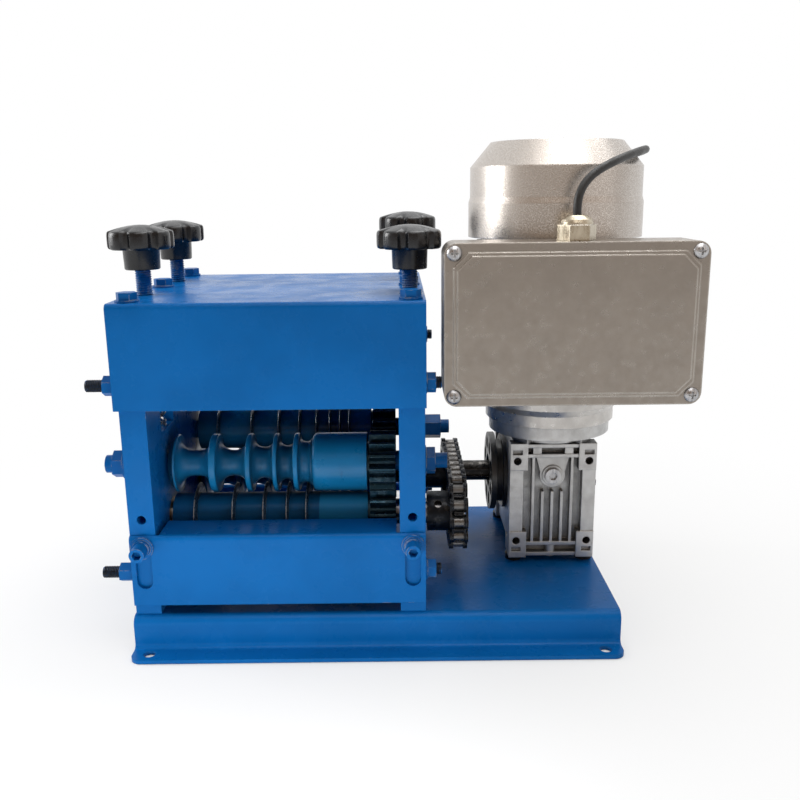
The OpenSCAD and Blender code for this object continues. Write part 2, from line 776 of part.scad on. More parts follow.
// Plain spacers that fill the drum between the cutting discs
module disc_spacers(mids, y, z, d, bore_d) color(blue) {
    starts = concat([0], [for (m = mids) m + blade_t / 2]);
    ends = concat([for (m = mids) m - blade_t / 2], [drum_len]);
    for (i = [0:len(starts) - 1]) difference() {
        rod_x(d, drum_x0 + starts[i], drum_x0 + ends[i], y, z);
        rod_x(bore_d, drum_x0 + starts[i] - 1, drum_x0 + ends[i] + 1, y, z);
    }
}

rear_mids = concat(groove_mid, fine_mid);

module front_lower_spacers()
    disc_spacers(groove_mid, front_axis_y, lower_z, front_spacer_d, shaft_d + 2 * fit_gap);

module front_lower_blades() cutting_discs(groove_mid, front_axis_y, lower_z, shaft_d + 2 * fit_gap);

module rear_upper_spacers()
    disc_spacers(rear_mids, rear_axis_y, upper_z, rear_spacer_d, axle_d + 2 * run_gap);

module rear_upper_blades() cutting_discs(rear_mids, rear_axis_y, upper_z, axle_d + 2 * run_gap);

module front_lower_shaft() color(steel)
    rod_x(shaft_d, left_out + 2, shaft_end_x, front_axis_y, lower_z);

// Driven shaft: roller seat, sprocket seat and keyed end inside the gearbox
module drive_shaft() color(dark) difference() {
    core_d = shaft_d * 0.85;
    end_x = gearbox_x + gearbox_w / 2 + 4;
    key_w = 6;
    key_h = 3.5;
    union() {
        rod_x(shaft_d, left_out + 2, drum_x0 - 0.5, rear_axis_y, lower_z);
        rod_x(core_d, drum_x0 - 0.5, gear_x0, rear_axis_y, lower_z);
        rod_x(shaft_d, gear_x0, shaft_end_x, rear_axis_y, lower_z);
        rod_x(output_d, shaft_end_x, end_x, rear_axis_y, lower_z);
    }
    translate([shaft_end_x + 2, rear_axis_y - output_d / 2 - 1, lower_z - key_w / 2])
        cube([end_x - shaft_end_x, key_h + 1, key_w]);
}

// Sprocket with a hub on its plate side and a set-screw hole
module sprocket(y, screw_angle) color(dark) {
    tip_r = sprocket_r + sprocket_tip;
    seat_r = chain_roller_d / 2 + chain_play;
    difference() {
        union() {
            translate([sprocket_x - sprocket_w / 2, y, lower_z]) rotate([0, 90, 0])
                linear_extrude(sprocket_w)
                difference() {
                    circle(tip_r);
                    for (i = [0:sprocket_teeth - 1]) rotate(360 * i / sprocket_teeth) {
                        translate([sprocket_r, 0]) circle(seat_r);
                        polygon([[sprocket_r, -seat_r], [tip_r + 1, -seat_r * tooth_flare],
                            [tip_r + 1, seat_r * tooth_flare], [sprocket_r, seat_r]]);
                    }
                }
            rod_x(sprocket_hub_d, hub_x0, sprocket_x - sprocket_w / 2, y, lower_z);
        }
        rod_x(shaft_d + 2 * fit_gap, hub_x0 - 1, sprocket_x + sprocket_w, y, lower_z);
        translate([(hub_x0 + sprocket_x - sprocket_w) / 2, y, lower_z]) rotate([screw_angle, 0, 0])
            cylinder(d = set_screw_d, h = sprocket_hub_d);
    }
}

module front_sprocket() sprocket(front_axis_y, 50);

module rear_sprocket() sprocket(rear_axis_y, 50);

// Pin places round the chain loop, from the top of the front sprocket
half_teeth = sprocket_teeth / 2;
run_links = chain_links / 2 - half_teeth;
function chain_pin(i) = let (
    k = i % chain_links,
    on_rear = k < half_teeth,
    on_low = k < half_teeth + run_links,
    on_front = k < 2 * half_teeth + run_links,
    a = 90 - 360 / sprocket_teeth * (on_rear ? k : k - half_teeth - run_links + half_teeth))
    on_rear ? [rear_axis_y + sprocket_r * cos(a), lower_z + sprocket_r * sin(a)]
    : on_low ? [rear_axis_y - (k - half_teeth) * chain_pitch, lower_z - sprocket_r]
    : on_front ? [front_axis_y + sprocket_r * cos(a), lower_z + sprocket_r * sin(a)]
    : [front_axis_y + (k - 2 * half_teeth - run_links) * chain_pitch, lower_z + sprocket_r];

// Waisted link plate between two pins, drawn along the first axis
module link_outline(pin_bore) {
    waist = 0.72 * chain_plate_h;
    difference() {
        union() {
            for (x = [0, chain_pitch]) translate([x, 0]) circle(d = chain_plate_h);
            translate([0, -waist / 2]) square([chain_pitch, waist]);
        }
        if (pin_bore > 0) for (x = [0, chain_pitch]) translate([x, 0]) circle(d = pin_bore);
    }
}

// Inner link with its two bushed rollers
module inner_link() {
    bore_d = chain_pin_d + 2 * chain_play;
    for (s = [0, 1]) mirror([0, 0, s]) translate([0, 0, chain_inner_w / 2])
        linear_extrude(chain_plate_t) link_outline(bore_d);
    for (x = [0, chain_pitch]) translate([x, 0, -chain_inner_w / 2 - 0.2])
        linear_extrude(chain_inner_w + 0.4)
        difference() {
            circle(d = chain_roller_d);
            circle(d = bore_d);
        }
}

// Outer link with its two riveted pins
module outer_link() {
    outer_z = chain_inner_w / 2 + chain_plate_t + chain_play;
    for (s = [0, 1]) mirror([0, 0, s]) translate([0, 0, outer_z]) linear_extrude(chain_plate_t)
        link_outline(0);
    for (x = [0, chain_pitch]) translate([x, 0, -outer_z - 1.15 * chain_plate_t])
        cylinder(d = chain_pin_d, h = 2 * outer_z + 2.3 * chain_plate_t);
}

module drive_chain() color(dark) for (i = [0:chain_links - 1]) {
    a = chain_pin(i);
    b = chain_pin(i + 1);
    translate([sprocket_x, a[0], a[1]]) rotate([atan2(b[1] - a[1], b[0] - a[0]), 0, 0])
        rotate([90, 0, 90])
        if (i % 2 == 0) inner_link(); else outer_link();
}

// Pressure pad on top of a spring, with a guide pin inside the coils
module pressure_pad(x, y, out) color(steel) translate([x, y, pad_z + stud_lead * out]) {
    cylinder(d = plate_t - 1, h = pad_h);
    translate([0, 0, -pad_pin_h]) cylinder(r = spring_r - spring_wire / 2 - 1, h = pad_pin_h + 1);
}

module pad_front_left() pressure_pad(plate_mid[0], front_axis_y, knob_out[0][0]);

module pad_front_right() pressure_pad(plate_mid[1], front_axis_y, knob_out[0][1]);

module pad_rear_left() pressure_pad(plate_mid[0], rear_axis_y, knob_out[1][0]);

module pad_rear_right() pressure_pad(plate_mid[1], rear_axis_y, knob_out[1][1]);

// Star knob: threaded stud, hub, scalloped rim and domed top
module star_knob(x, y, out) color(black) translate([x, y, stud_lead * out]) {
    lobe_r = knob_d * 0.17;
    translate([0, 0, stud_z0 + slide_gap]) cylinder(d = stud_d, h = knob_rim_z - stud_z0);
    translate([0, 0, knob_z0]) cylinder(d1 = knob_hub_d - 1.5, d2 = knob_hub_d, h = knob_hub_h + 0.5);
    intersection() {
        translate([0, 0, knob_rim_z]) linear_extrude(knob_rim_h + knob_dome_h) {
            circle(knob_d / 2 - lobe_r * 0.55);
            for (i = [0:knob_lobes - 1]) rotate(360 * (i + 0.25) / knob_lobes)
                translate([knob_d / 2 - lobe_r, 0]) circle(lobe_r);
        }
        translate([0, 0, knob_rim_z + knob_rim_h + knob_dome_h - knob_dome_r]) sphere(knob_dome_r);
    }
}

module knob_front_left() star_knob(plate_mid[0], front_axis_y, knob_out[0][0]);

module knob_front_right() star_knob(plate_mid[1], front_axis_y, knob_out[0][1]);

module knob_rear_left() star_knob(plate_mid[0], rear_axis_y, knob_out[1][0]);

module knob_rear_right() star_knob(plate_mid[1], rear_axis_y, knob_out[1][1]);

// Ribbed face of the gearbox: columns, corner pads, bars, ribs, lugs and plug web
module gearbox_face(depth) {
    half = gearbox_w / 2;
    bar_h = 3;
    boss_r = 4.2;
    lug_w = 7;
    lug_h = 8;
    plug_up = plug_z - gearbox_z0;
    for (s = [0, 1]) mirror([s, 0, 0]) {
        translate([half - column_w, 1, 0]) cube([column_w, depth - 1, gearbox_h]);
        for (z = [0, gearbox_h - pad_tall]) translate([half - pad_w, 0, z])
            cube([pad_w, depth, pad_tall]);
        translate([rib_pitch * 1.2, 2, gearbox_h - lug_h - 2]) cube([lug_w, depth - 2, lug_h]);
    }
    for (z = face_bars) translate([-half + 2, 1.5, z]) cube([gearbox_w - 4, depth - 1.5, bar_h]);
    for (i = [0:rib_count - 1]) {
        side = i - (rib_count - 1) / 2;
        rib_top = abs(side) > 1 ? face_bars[2] : gearbox_h * 0.57;
        translate([side * rib_pitch - rib_t / 2, 2, face_bars[1]])
            cube([rib_t, depth - 2, rib_top - face_bars[1] + 1]);
    }
    translate([0, depth, 0]) rotate([90, 0, 0]) linear_extrude(depth - 3.5) {
        translate([0, plug_up]) circle(plug_boss_r + 2);
        polygon([[-plug_boss_r - 1, plug_up], [plug_boss_r + 1, plug_up],
            [1.7 * rib_pitch, face_bars[2]], [-1.7 * rib_pitch, face_bars[2]]]);
    }
    translate([0, 2 + boss_r, 0]) cylinder(r = boss_r, h = face_bars[1] + 1);
}

// Small pockets beside the four bolt holes of a gearbox face
module face_pockets() {
    pocket_w = 8;
    pocket_h = 4;
    for (sx = [-1, 1], z = [5.5, gearbox_h - 5.5 - pocket_h])
        translate([sx * face_hole_x - pocket_w / 2, -1, z]) cube([pocket_w, 4, pocket_h]);
}

module gearbox_housing() color(silver) translate([gearbox_x, rear_axis_y, gearbox_z0]) difference() {
    half = gearbox_w / 2;
    axis_z = gearbox_h / 2 + output_rise;
    union() {
        translate([-half + 3, -gearbox_front + face_depth, 4])
            cube([gearbox_w - 6, gearbox_front + gearbox_back - 2 * face_depth, gearbox_h - 4]);
        translate([0, -gearbox_front, 0]) gearbox_face(face_depth + 4);
        translate([0, gearbox_back, 0]) mirror([0, 1, 0]) gearbox_face(face_depth + 4);
        for (s = [-1, 1]) translate([s * foot_bolt_x, 0, 0]) for (y = foot_bolt_y)
            translate([-5.5, y - 12, 0]) cube([11, 24, 14]);
        translate([0, -gearbox_front + 2, plug_z - gearbox_z0]) rotate([-90, 0, 0])
            cylinder(r = plug_boss_r, h = face_depth);
        translate([half - 4, 0, axis_z]) rotate([0, 90, 0]) cylinder(d = side_cover_d * 0.75, h = 6);
    }
    rod_x(2 * (wheel_r + wheel_room), -half - 1, half - side_wall_t, 0, axis_z);
    rod_x(wheel_hub_d + 2 * run_gap, 0, half + 4, 0, axis_z);
    translate([0, -worm_offset, 10]) cylinder(d = worm_bore_d, h = gearbox_h);
    for (sx = [-1, 1], z = [face_hole_z, gearbox_h - face_hole_z])
        translate([sx * face_hole_x, -gearbox_front - 1, z]) rotate([-90, 0, 0])
            cylinder(d = face_hole_d, h = face_depth + 4);
    translate([0, -gearbox_front, 0]) face_pockets();
    translate([0, gearbox_back, 0]) mirror([0, 1, 0]) face_pockets();
    for (sx = [-1, 1], y = foot_bolt_y) translate([sx * foot_bolt_x, y, -1])
        cylinder(d = face_hole_d, h = 13);
    translate([0, -gearbox_front + 1, plug_z - gearbox_z0]) rotate([-90, 0, 0])
        cylinder(d = 10, h = face_depth);
}

// Side cover over the worm-wheel chamber: spigot, neck and ribbed flange
module gearbox_cover() color(dark)
    translate([gearbox_x - gearbox_w / 2, rear_axis_y, lower_z]) rotate([0, -90, 0]) difference() {
        neck_h = side_cover_h - side_flange_h;
        pockets = 8;
        union() {
            translate([0, 0, -side_wall_t]) cylinder(r = wheel_r + wheel_room - fit_gap, h = side_wall_t);
            cylinder(d = side_cover_d * 0.8, h = neck_h + 1);
            translate([0, 0, neck_h]) cylinder(d = side_cover_d, h = side_flange_h);
        }
        translate([0, 0, -side_wall_t - 1])
            cylinder(d = wheel_hub_d + 2 * run_gap, h = side_wall_t + side_cover_h + 2);
        for (i = [0:pockets - 1]) rotate(360 * (i + 0.5) / pockets)
            translate([side_cover_d * 0.36, 0, side_cover_h - 3]) cylinder(d = 12, h = 4);
    }

// Three-winged cap ring on the closed side of the gearbox
module output_cap() color(dark)
    translate([gearbox_x + gearbox_w / 2 + 2, rear_axis_y, lower_z]) rotate([0, 90, 0]) difference() {
        wing_t = 5;
        wing_h = 9;
        union() {
            cylinder(d = side_cover_d * 0.75, h = 3);
            for (i = [0:2]) rotate(120 * i + 40) translate([wheel_hub_d / 2 + 2, -wing_t / 2, 0])
                cube([side_cover_d * 0.375 - wheel_hub_d / 2 - 2, wing_t, wing_h]);
        }
        translate([0, 0, -1]) cylinder(d = wheel_hub_d + 2, h = wing_h + 2);
    }

// Spacers and bolts that hold the gearbox feet to the base
module gearbox_fixings() color(dark) for (sx = [-1, 1], y = foot_bolt_y)
    translate([gearbox_x + sx * foot_bolt_x, rear_axis_y + y, deck_z]) {
        difference() {
            cylinder(d = 14, h = gearbox_foot);
            translate([0, 0, -1]) cylinder(d = face_hole_d, h = gearbox_foot + 2);
        }
        translate([0, 0, -base_t]) mirror([0, 0, 1]) cylinder(d = 10 / cos(30), h = 4, $fn = 6);
        translate([0, 0, -base_t - 1])
            cylinder(d = face_hole_d - 2 * fit_gap, h = base_t + gearbox_foot + 10);
    }

module oil_plug() color(silver) translate([gearbox_x, rear_axis_y - gearbox_front + 2, plug_z])
    rotate([90, 0, 0])
    difference() {
        union() {
            cylinder(d = 13, h = 3);
            translate([0, 0, -6]) cylinder(d = 10 - 2 * fit_gap, h = 7);
        }
        translate([0, 0, 1]) cylinder(d = 6 / cos(30), h = 3, $fn = 6);
    }

// Worm wheel with its hollow hub on the driven shaft
module worm_wheel() color("Goldenrod") difference() {
    union() {
        rod_x(wheel_hub_d, gearbox_x - gearbox_w / 2 - side_cover_h + 2, gearbox_x + gearbox_w / 2 + 3,
            rear_axis_y, lower_z);
        rod_x(2 * wheel_r, gearbox_x - wheel_w / 2, gearbox_x + wheel_w / 2, rear_axis_y, lower_z);
    }
    rod_x(output_d + 2 * fit_gap, gearbox_x - gearbox_w, gearbox_x + gearbox_w, rear_axis_y, lower_z);
}

// Hollow worm around the motor shaft
module worm_shaft() color(steel) translate([gearbox_x, worm_y, gearbox_z0 + 14]) difference() {
    cylinder(d = worm_d, h = gearbox_h - 10);
    translate([0, 0, 20]) cylinder(d = motor_shaft_d + 2 * fit_gap, h = gearbox_h);
}

module input_flange() color(silver) translate([gearbox_x, worm_y, gearbox_top]) difference() {
    union() {
        cylinder(d = 64, h = input_neck_h + 1);
        translate([0, 0, input_neck_h]) cylinder(d = flange_dia - 6, h = input_flange_h);
        for (a = [45:90:315]) rotate(a) translate([0, -7, 0]) cube([38, 14, input_neck_h + 1]);
    }
    translate([0, 0, -1]) cylinder(d = worm_bore_d, h = input_neck_h + input_flange_h + 2);
}

module motor_shield() color(silver) translate([gearbox_x, worm_y, shield_z]) difference() {
    union() {
        cylinder(d = flange_dia, h = shield_flange_h);
        translate([0, 0, shield_flange_h - 0.5])
            cylinder(d1 = flange_dia, d2 = 2 * motor_core_r, h = 6.5);
        translate([0, 0, shield_flange_h + 5])
            cylinder(r = motor_core_r, h = shield_h - shield_flange_h - 5);
    }
    translate([0, 0, -1]) cylinder(d = motor_shaft_d + 2 * run_gap, h = shield_h + 2);
}

// Finned motor frame with the pad that carries the control box
module motor_frame() color(silver) translate([gearbox_x, worm_y, frame_z]) difference() {
    pad_z0 = box_z0 + (box_h - box_pad_h) / 2 - frame_z;
    union() {
        linear_extrude(motor_frame_h) {
            circle(motor_core_r);
            for (i = [0:fin_count - 1]) rotate(360 * (i + 0.5) / fin_count) translate([0, -fin_t / 2])
                square([fin_r, fin_t]);
        }
        translate([-box_pad_w / 2, -motor_core_r - box_pad_t, pad_z0])
            cube([box_pad_w, motor_core_r, box_pad_h]);
    }
    translate([0, 0, -1]) cylinder(r = motor_bore_r, h = motor_frame_h + 2);
}

module motor_stator() color("SaddleBrown")
    translate([gearbox_x, worm_y, frame_z + (motor_frame_h - rotor_h) / 2])
    linear_extrude(rotor_h) difference() {
        circle(motor_bore_r - fit_gap);
        circle(stator_r);
    }

module motor_rotor() color(steel) translate([gearbox_x, worm_y, 0]) {
    shaft_z0 = gearbox_z0 + shaft_seat;
    translate([0, 0, shaft_z0])
        cylinder(d = motor_shaft_d, h = rear_shield_z + rear_shield_h + shaft_tail - shaft_z0);
    translate([0, 0, frame_z + (motor_frame_h - rotor_h) / 2]) cylinder(r = rotor_r, h = rotor_h);
}

// Rear bearing shield with four lugs that carry the fan cover
module rear_shield() color(silver) translate([gearbox_x, worm_y, rear_shield_z]) difference() {
    union() {
        cylinder(r = motor_core_r, h = rear_shield_h);
        intersection() {
            for (a = [45:90:315]) rotate(a) translate([0, -cover_lug_w / 2, cover_lip])
                cube([fan_cover_d / 2, cover_lug_w, rear_shield_h - cover_lip]);
            cylinder(d = fan_cover_d - 2 * fan_cover_t - 2 * fit_gap, h = rear_shield_h);
        }
    }
    translate([0, 0, -1]) cylinder(d = motor_shaft_d + 2 * run_gap, h = rear_shield_h + 2);
}

module cooling_fan() color(black)
    translate([gearbox_x, worm_y, rear_shield_z + rear_shield_h + fan_gap]) difference() {
        union() {
            cylinder(d = fan_hub_d, h = fan_h);
            cylinder(r = fan_disc_r, h = fan_disc_t);
            for (i = [0:fan_blades - 1]) rotate(360 * i / fan_blades)
                translate([motor_shaft_d, -fan_blade_t / 2, 0])
                cube([fan_tip_r - motor_shaft_d, fan_blade_t, fan_h]);
        }
        translate([0, 0, -1]) cylinder(d = motor_shaft_d + 2 * fit_gap, h = fan_h + 2);
    }

// Turned half profile of the fan cover's skin, grown by the given inset
module fan_cover_profile(inset) {
    low_r = fan_cover_d / 2 - inset;
    high_r = low_r - fan_step;
    polygon([
        [0, 0], [low_r, 0], [low_r, fan_step_z - 2], [high_r, fan_step_z + 2],
        [high_r, fan_cover_h - fan_chamfer_h - inset * 0.4],
        [fan_top_r - inset * 0.4, fan_cover_h - inset],
        [0, fan_cover_h - inset]]);
}

module fan_cover() color(silver) translate([gearbox_x, worm_y, fan_cover_z]) difference() {
    rotate_extrude() fan_cover_profile(0);
    translate([0, 0, -0.01]) rotate_extrude() fan_cover_profile(fan_cover_t);
    for (i = [0:grille_slots - 1]) rotate(360 * i / grille_slots)
        translate([grille_in_r, -grille_w / 2, fan_cover_h - fan_cover_t - 1])
        cube([grille_out_r - grille_in_r, grille_w, fan_cover_t + 2]);
}

// Cast control box, open at the front, with screw bosses in its corners
module at_lid_screws() {
    for (sx = [-1, 1], sy = [-1, 1])
        translate([sx * (box_w / 2 - lid_screw_inset), sy * (box_h / 2 - lid_screw_inset)]) children();
}

module box_body() color(silver) translate([box_x, box_back_y, box_z0 + box_h / 2]) rotate([90, 0, 0])
    difference() {
    linear_extrude(box_d) round_rect(box_w, box_h, box_corner_r);
    translate([0, 0, box_wall]) linear_extrude(box_d) difference() {
        round_rect(box_w - 2 * box_wall, box_h - 2 * box_wall, box_corner_r - box_wall);
        at_lid_screws() circle(d = box_boss_d);
    }
    translate([gland_x - box_x, box_h / 2 - box_wall - 1, box_back_y - gland_y]) rotate([-90, 0, 0])
        cylinder(d = gland_thread_d + 2 * fit_gap, h = box_wall + 2);
    translate([0, 0, box_d - lid_screw_grip]) linear_extrude(lid_screw_grip + 1) at_lid_screws()
        circle(d = lid_shank_d + 2 * fit_gap);
}

// Rectangle with its corners cut off, centred
module cut_rect(w, h, c) {
    polygon([
        [-w / 2 + c, -h / 2], [w / 2 - c, -h / 2], [w / 2, -h / 2 + c], [w / 2, h / 2 - c],
        [w / 2 - c, h / 2], [-w / 2 + c, h / 2], [-w / 2, h / 2 - c], [-w / 2, -h / 2 + c]]);
}

// Lid with a raised panel in two steps and a hollow back
module box_lid() color(silver) translate([box_x, box_front_y, box_z0 + box_h / 2]) rotate([90, 0, 0])
    difference() {
    union() {
        linear_extrude(lid_t) round_rect(box_w, box_h, box_corner_r);
        for (k = [1, 2]) linear_extrude(lid_t + k * lid_panel_t) {
            inset = lid_panel_inset + (k - 1) * lid_step_inset;
            cut_rect(box_w - 2 * inset, box_h - 2 * inset, lid_panel_chamfer);
        }
    }
    translate([0, 0, -1]) linear_extrude(lid_t - box_wall + 1)
        cut_rect(box_w - 2 * lid_hollow_inset, box_h - 2 * lid_hollow_inset, lid_panel_chamfer);
    translate([0, 0, -1]) linear_extrude(lid_t + 2) at_lid_screws() circle(d = lid_shank_d + 2 * fit_gap);
}

// Domed cross-recessed screws in the lid's corners
module lid_screws() color(steel) translate([box_x, box_front_y - lid_t, box_z0 + box_h / 2])
    rotate([90, 0, 0]) {
    dome_r = (lid_screw_d * lid_screw_d / 4 + lid_screw_h * lid_screw_h) / (2 * lid_screw_h);
    recess_w = 1.3;
    recess_l = 5.2;
    at_lid_screws() difference() {
        union() {
            intersection() {
                cylinder(d = lid_screw_d, h = lid_screw_h);
                translate([0, 0, lid_screw_h - dome_r]) sphere(dome_r);
            }
            translate([0, 0, -lid_t - lid_screw_grip + 1])
                cylinder(d = lid_shank_d, h = lid_t + lid_screw_grip);
        }
        for (a = [0, 90]) rotate(a) translate([-recess_l / 2, -recess_w / 2, lid_screw_h - 1.6])
            cube([recess_l, recess_w, 2]);
    }
}

// Hexagon cable gland with a domed cap on top of the box
module cable_gland() color("Tan") translate([gland_x, gland_y, box_z0 + box_h]) {
    cap_h = gland_h - gland_hex_h;
    translate([0, 0, -box_wall]) cylinder(d = gland_thread_d, h = box_wall + 1);
    cylinder(d = gland_af / cos(30), h = gland_hex_h, $fn = 6);
    translate([0, 0, gland_hex_h - 0.5]) rotate_extrude() polygon([
        [0, 0], [gland_af * 0.48, 0], [gland_af * 0.48, 0.3 * cap_h], [gland_af * 0.44, 0.62 * cap_h],
        [gland_af * 0.36, 0.9 * cap_h], [gland_af * 0.3, cap_h + 0.5], [0, cap_h + 0.5]]);
}

module power_cord() color(black) tube(cord_route, cord_d, cord_sides);

// Put-away lead: two flat layers of spiral, in and then out again, as one tube
coil_low_z = cord_d / 2;
coil_high_z = coil_low_z + cord_d + 0.6;
coil_in_r = coil_r - coil_turns * coil_step;
coil_flat = coil_turns * coil_rings;
coil_climb = coil_rings / 2;
function coil_point(i) = let (
    a = -90 - 360 * i / coil_rings,
    c = (i - coil_flat) / coil_rings,
    o = (i - coil_flat - coil_climb) / coil_rings,
    r = i <= coil_flat ? coil_r - coil_step * i / coil_rings
        : o <= 0 ? coil_in_r - coil_step / 4 * sin(360 * c) : coil_in_r + coil_step * o,
    z = i <= coil_flat ? coil_low_z
        : o <= 0 ? coil_low_z + (coil_high_z - coil_low_z) * 2 * c : coil_high_z)
    [coil_mid[0] + r * cos(a), coil_mid[1] + r * sin(a), z];
coil_path = concat(
    [[coil_mid[0] + cord_d, coil_mid[1] - coil_r, coil_low_z]],
    [for (i = [0:2 * coil_flat + coil_climb]) coil_point(i)],
    [for (k = [1:3]) [coil_mid[0] + k * coil_tail / 3, coil_mid[1] + coil_r, coil_high_z]]);
echo(lead_length = path_length(cord_route) + path_length(coil_path));
echo(coil_gap = least_gap(coil_path, cord_d, coil_climb));

module cord_coil() color(black) tube(coil_path, cord_d, coil_sides);

// Two-pin plug lying behind the base, at the end of the coil's tail
module mains_plug() color(black)
    translate([coil_mid[0] + coil_tail, coil_mid[1] + coil_r, coil_high_z]) rotate([0, 90, 0]) {
        cylinder(d1 = cord_d + 1.5, d2 = cord_d + 4, h = relief_l + 1);
        translate([0, 0, relief_l]) linear_extrude(plug_l) round_rect(2 * coil_high_z, plug_w, cord_d);
        for (s = [-1, 1]) translate([0, s * plug_pin_gap / 2, relief_l + plug_l - 1])
            cylinder(d = plug_pin_d, h = plug_pin_l + 1);
    }

base();
left_plate();
right_plate();
top_cover();
frame_bolts();
tie_rods();
lower_bushes();
lower_panel();
panel_screws();
front_blocks();
front_axle();
front_springs();
front_upper_roller();
front_upper_gear();
front_lower_shaft();
front_lower_spacers();
front_lower_blades();
front_lower_gear();
front_sprocket();
rear_blocks();
rear_axle();
rear_springs();
rear_upper_spacers();
rear_upper_blades();
rear_upper_gear();
drive_shaft();
rear_lower_roller();
rear_lower_gear();
rear_sprocket();
drive_chain();
pad_front_left();
pad_front_right();
pad_rear_left();
pad_rear_right();
knob_front_left();
knob_front_right();
knob_rear_left();
knob_rear_right();
gearbox_housing();
gearbox_cover();
output_cap();
gearbox_fixings();
oil_plug();
worm_wheel();
worm_shaft();
input_flange();
motor_shield();
motor_frame();
motor_stator();
motor_rotor();
rear_shield();
cooling_fan();
fan_cover();
box_body();
box_lid();
lid_screws();
cable_gland();
power_cord();
cord_coil();
mains_plug();
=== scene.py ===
"""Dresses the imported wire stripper: finishes, threads, springs, knobs, power lead, light and camera."""

import logging
import math
from dataclasses import dataclass
from enum import Enum
from typing import Any, Optional, Sequence

import bpy
from mathutils import Matrix, Vector


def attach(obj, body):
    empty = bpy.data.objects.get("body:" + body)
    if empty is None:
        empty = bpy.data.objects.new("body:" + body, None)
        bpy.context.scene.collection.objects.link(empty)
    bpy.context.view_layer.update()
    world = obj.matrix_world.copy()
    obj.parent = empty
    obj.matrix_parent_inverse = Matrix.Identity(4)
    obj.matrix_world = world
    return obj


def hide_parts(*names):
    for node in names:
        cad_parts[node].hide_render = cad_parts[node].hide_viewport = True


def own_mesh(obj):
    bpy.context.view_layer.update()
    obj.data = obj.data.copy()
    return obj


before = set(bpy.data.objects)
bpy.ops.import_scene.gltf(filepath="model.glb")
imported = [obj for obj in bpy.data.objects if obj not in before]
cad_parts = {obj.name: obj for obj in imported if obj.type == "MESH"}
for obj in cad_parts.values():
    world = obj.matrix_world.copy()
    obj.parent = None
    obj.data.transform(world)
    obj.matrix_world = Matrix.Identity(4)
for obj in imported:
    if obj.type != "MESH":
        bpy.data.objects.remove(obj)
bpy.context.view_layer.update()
LOG = logging.getLogger("wire_stripper")

Colour = tuple[float, float, float]
Point = tuple[float, float, float]

# Places that several sub-assemblies share, in millimetres
PLATE_LEFT = -181.5
PLATE_RIGHT = 36.5
STUD_PITCH = 1.75


def mm(value: float) -> float:
    """Turns millimetres into metres."""
    return value / 1000.0


class Axis(Enum):
    """Directions in which the end of a rod can point."""

    LEFT = Matrix.Rotation(math.radians(-90), 4, "Y")
    RIGHT = Matrix.Rotation(math.radians(90), 4, "Y")


class Roller(Enum):
    """Upper rollers, each with its place from front to rear, in millimetres."""

    FRONT = -56.0
    REAR = 45.6

    @property
    def word(self) -> str:
        """Gives the word that names of solids and joints use for it."""
        return self.name.lower()


class Side(Enum):
    """Sides of the frame, each with its studs' place across the machine, in millimetres."""

    LEFT = -172.0
    RIGHT = 27.0

    @property
    def word(self) -> str:
        """Gives the word that names of solids use for it."""
        return self.name.lower()


def knob_up(roller: Roller, side: Side) -> float:
    """Gives how far a knob and its pad stand above the left pair, in millimetres."""
    right_turns = {Roller.FRONT: -1, Roller.REAR: 3}
    return right_turns[roller] * STUD_PITCH if side is Side.RIGHT else 0.0


def stand(name: str, data: bpy.types.ID) -> bpy.types.Object:
    """Puts a new object into the scene.

    Args:
        name: the object's name.
        data: its mesh, curve, lamp or camera.

    Returns:
        The new object.
    """
    obj = bpy.data.objects.new(name, data)
    bpy.context.scene.collection.objects.link(obj)
    return obj


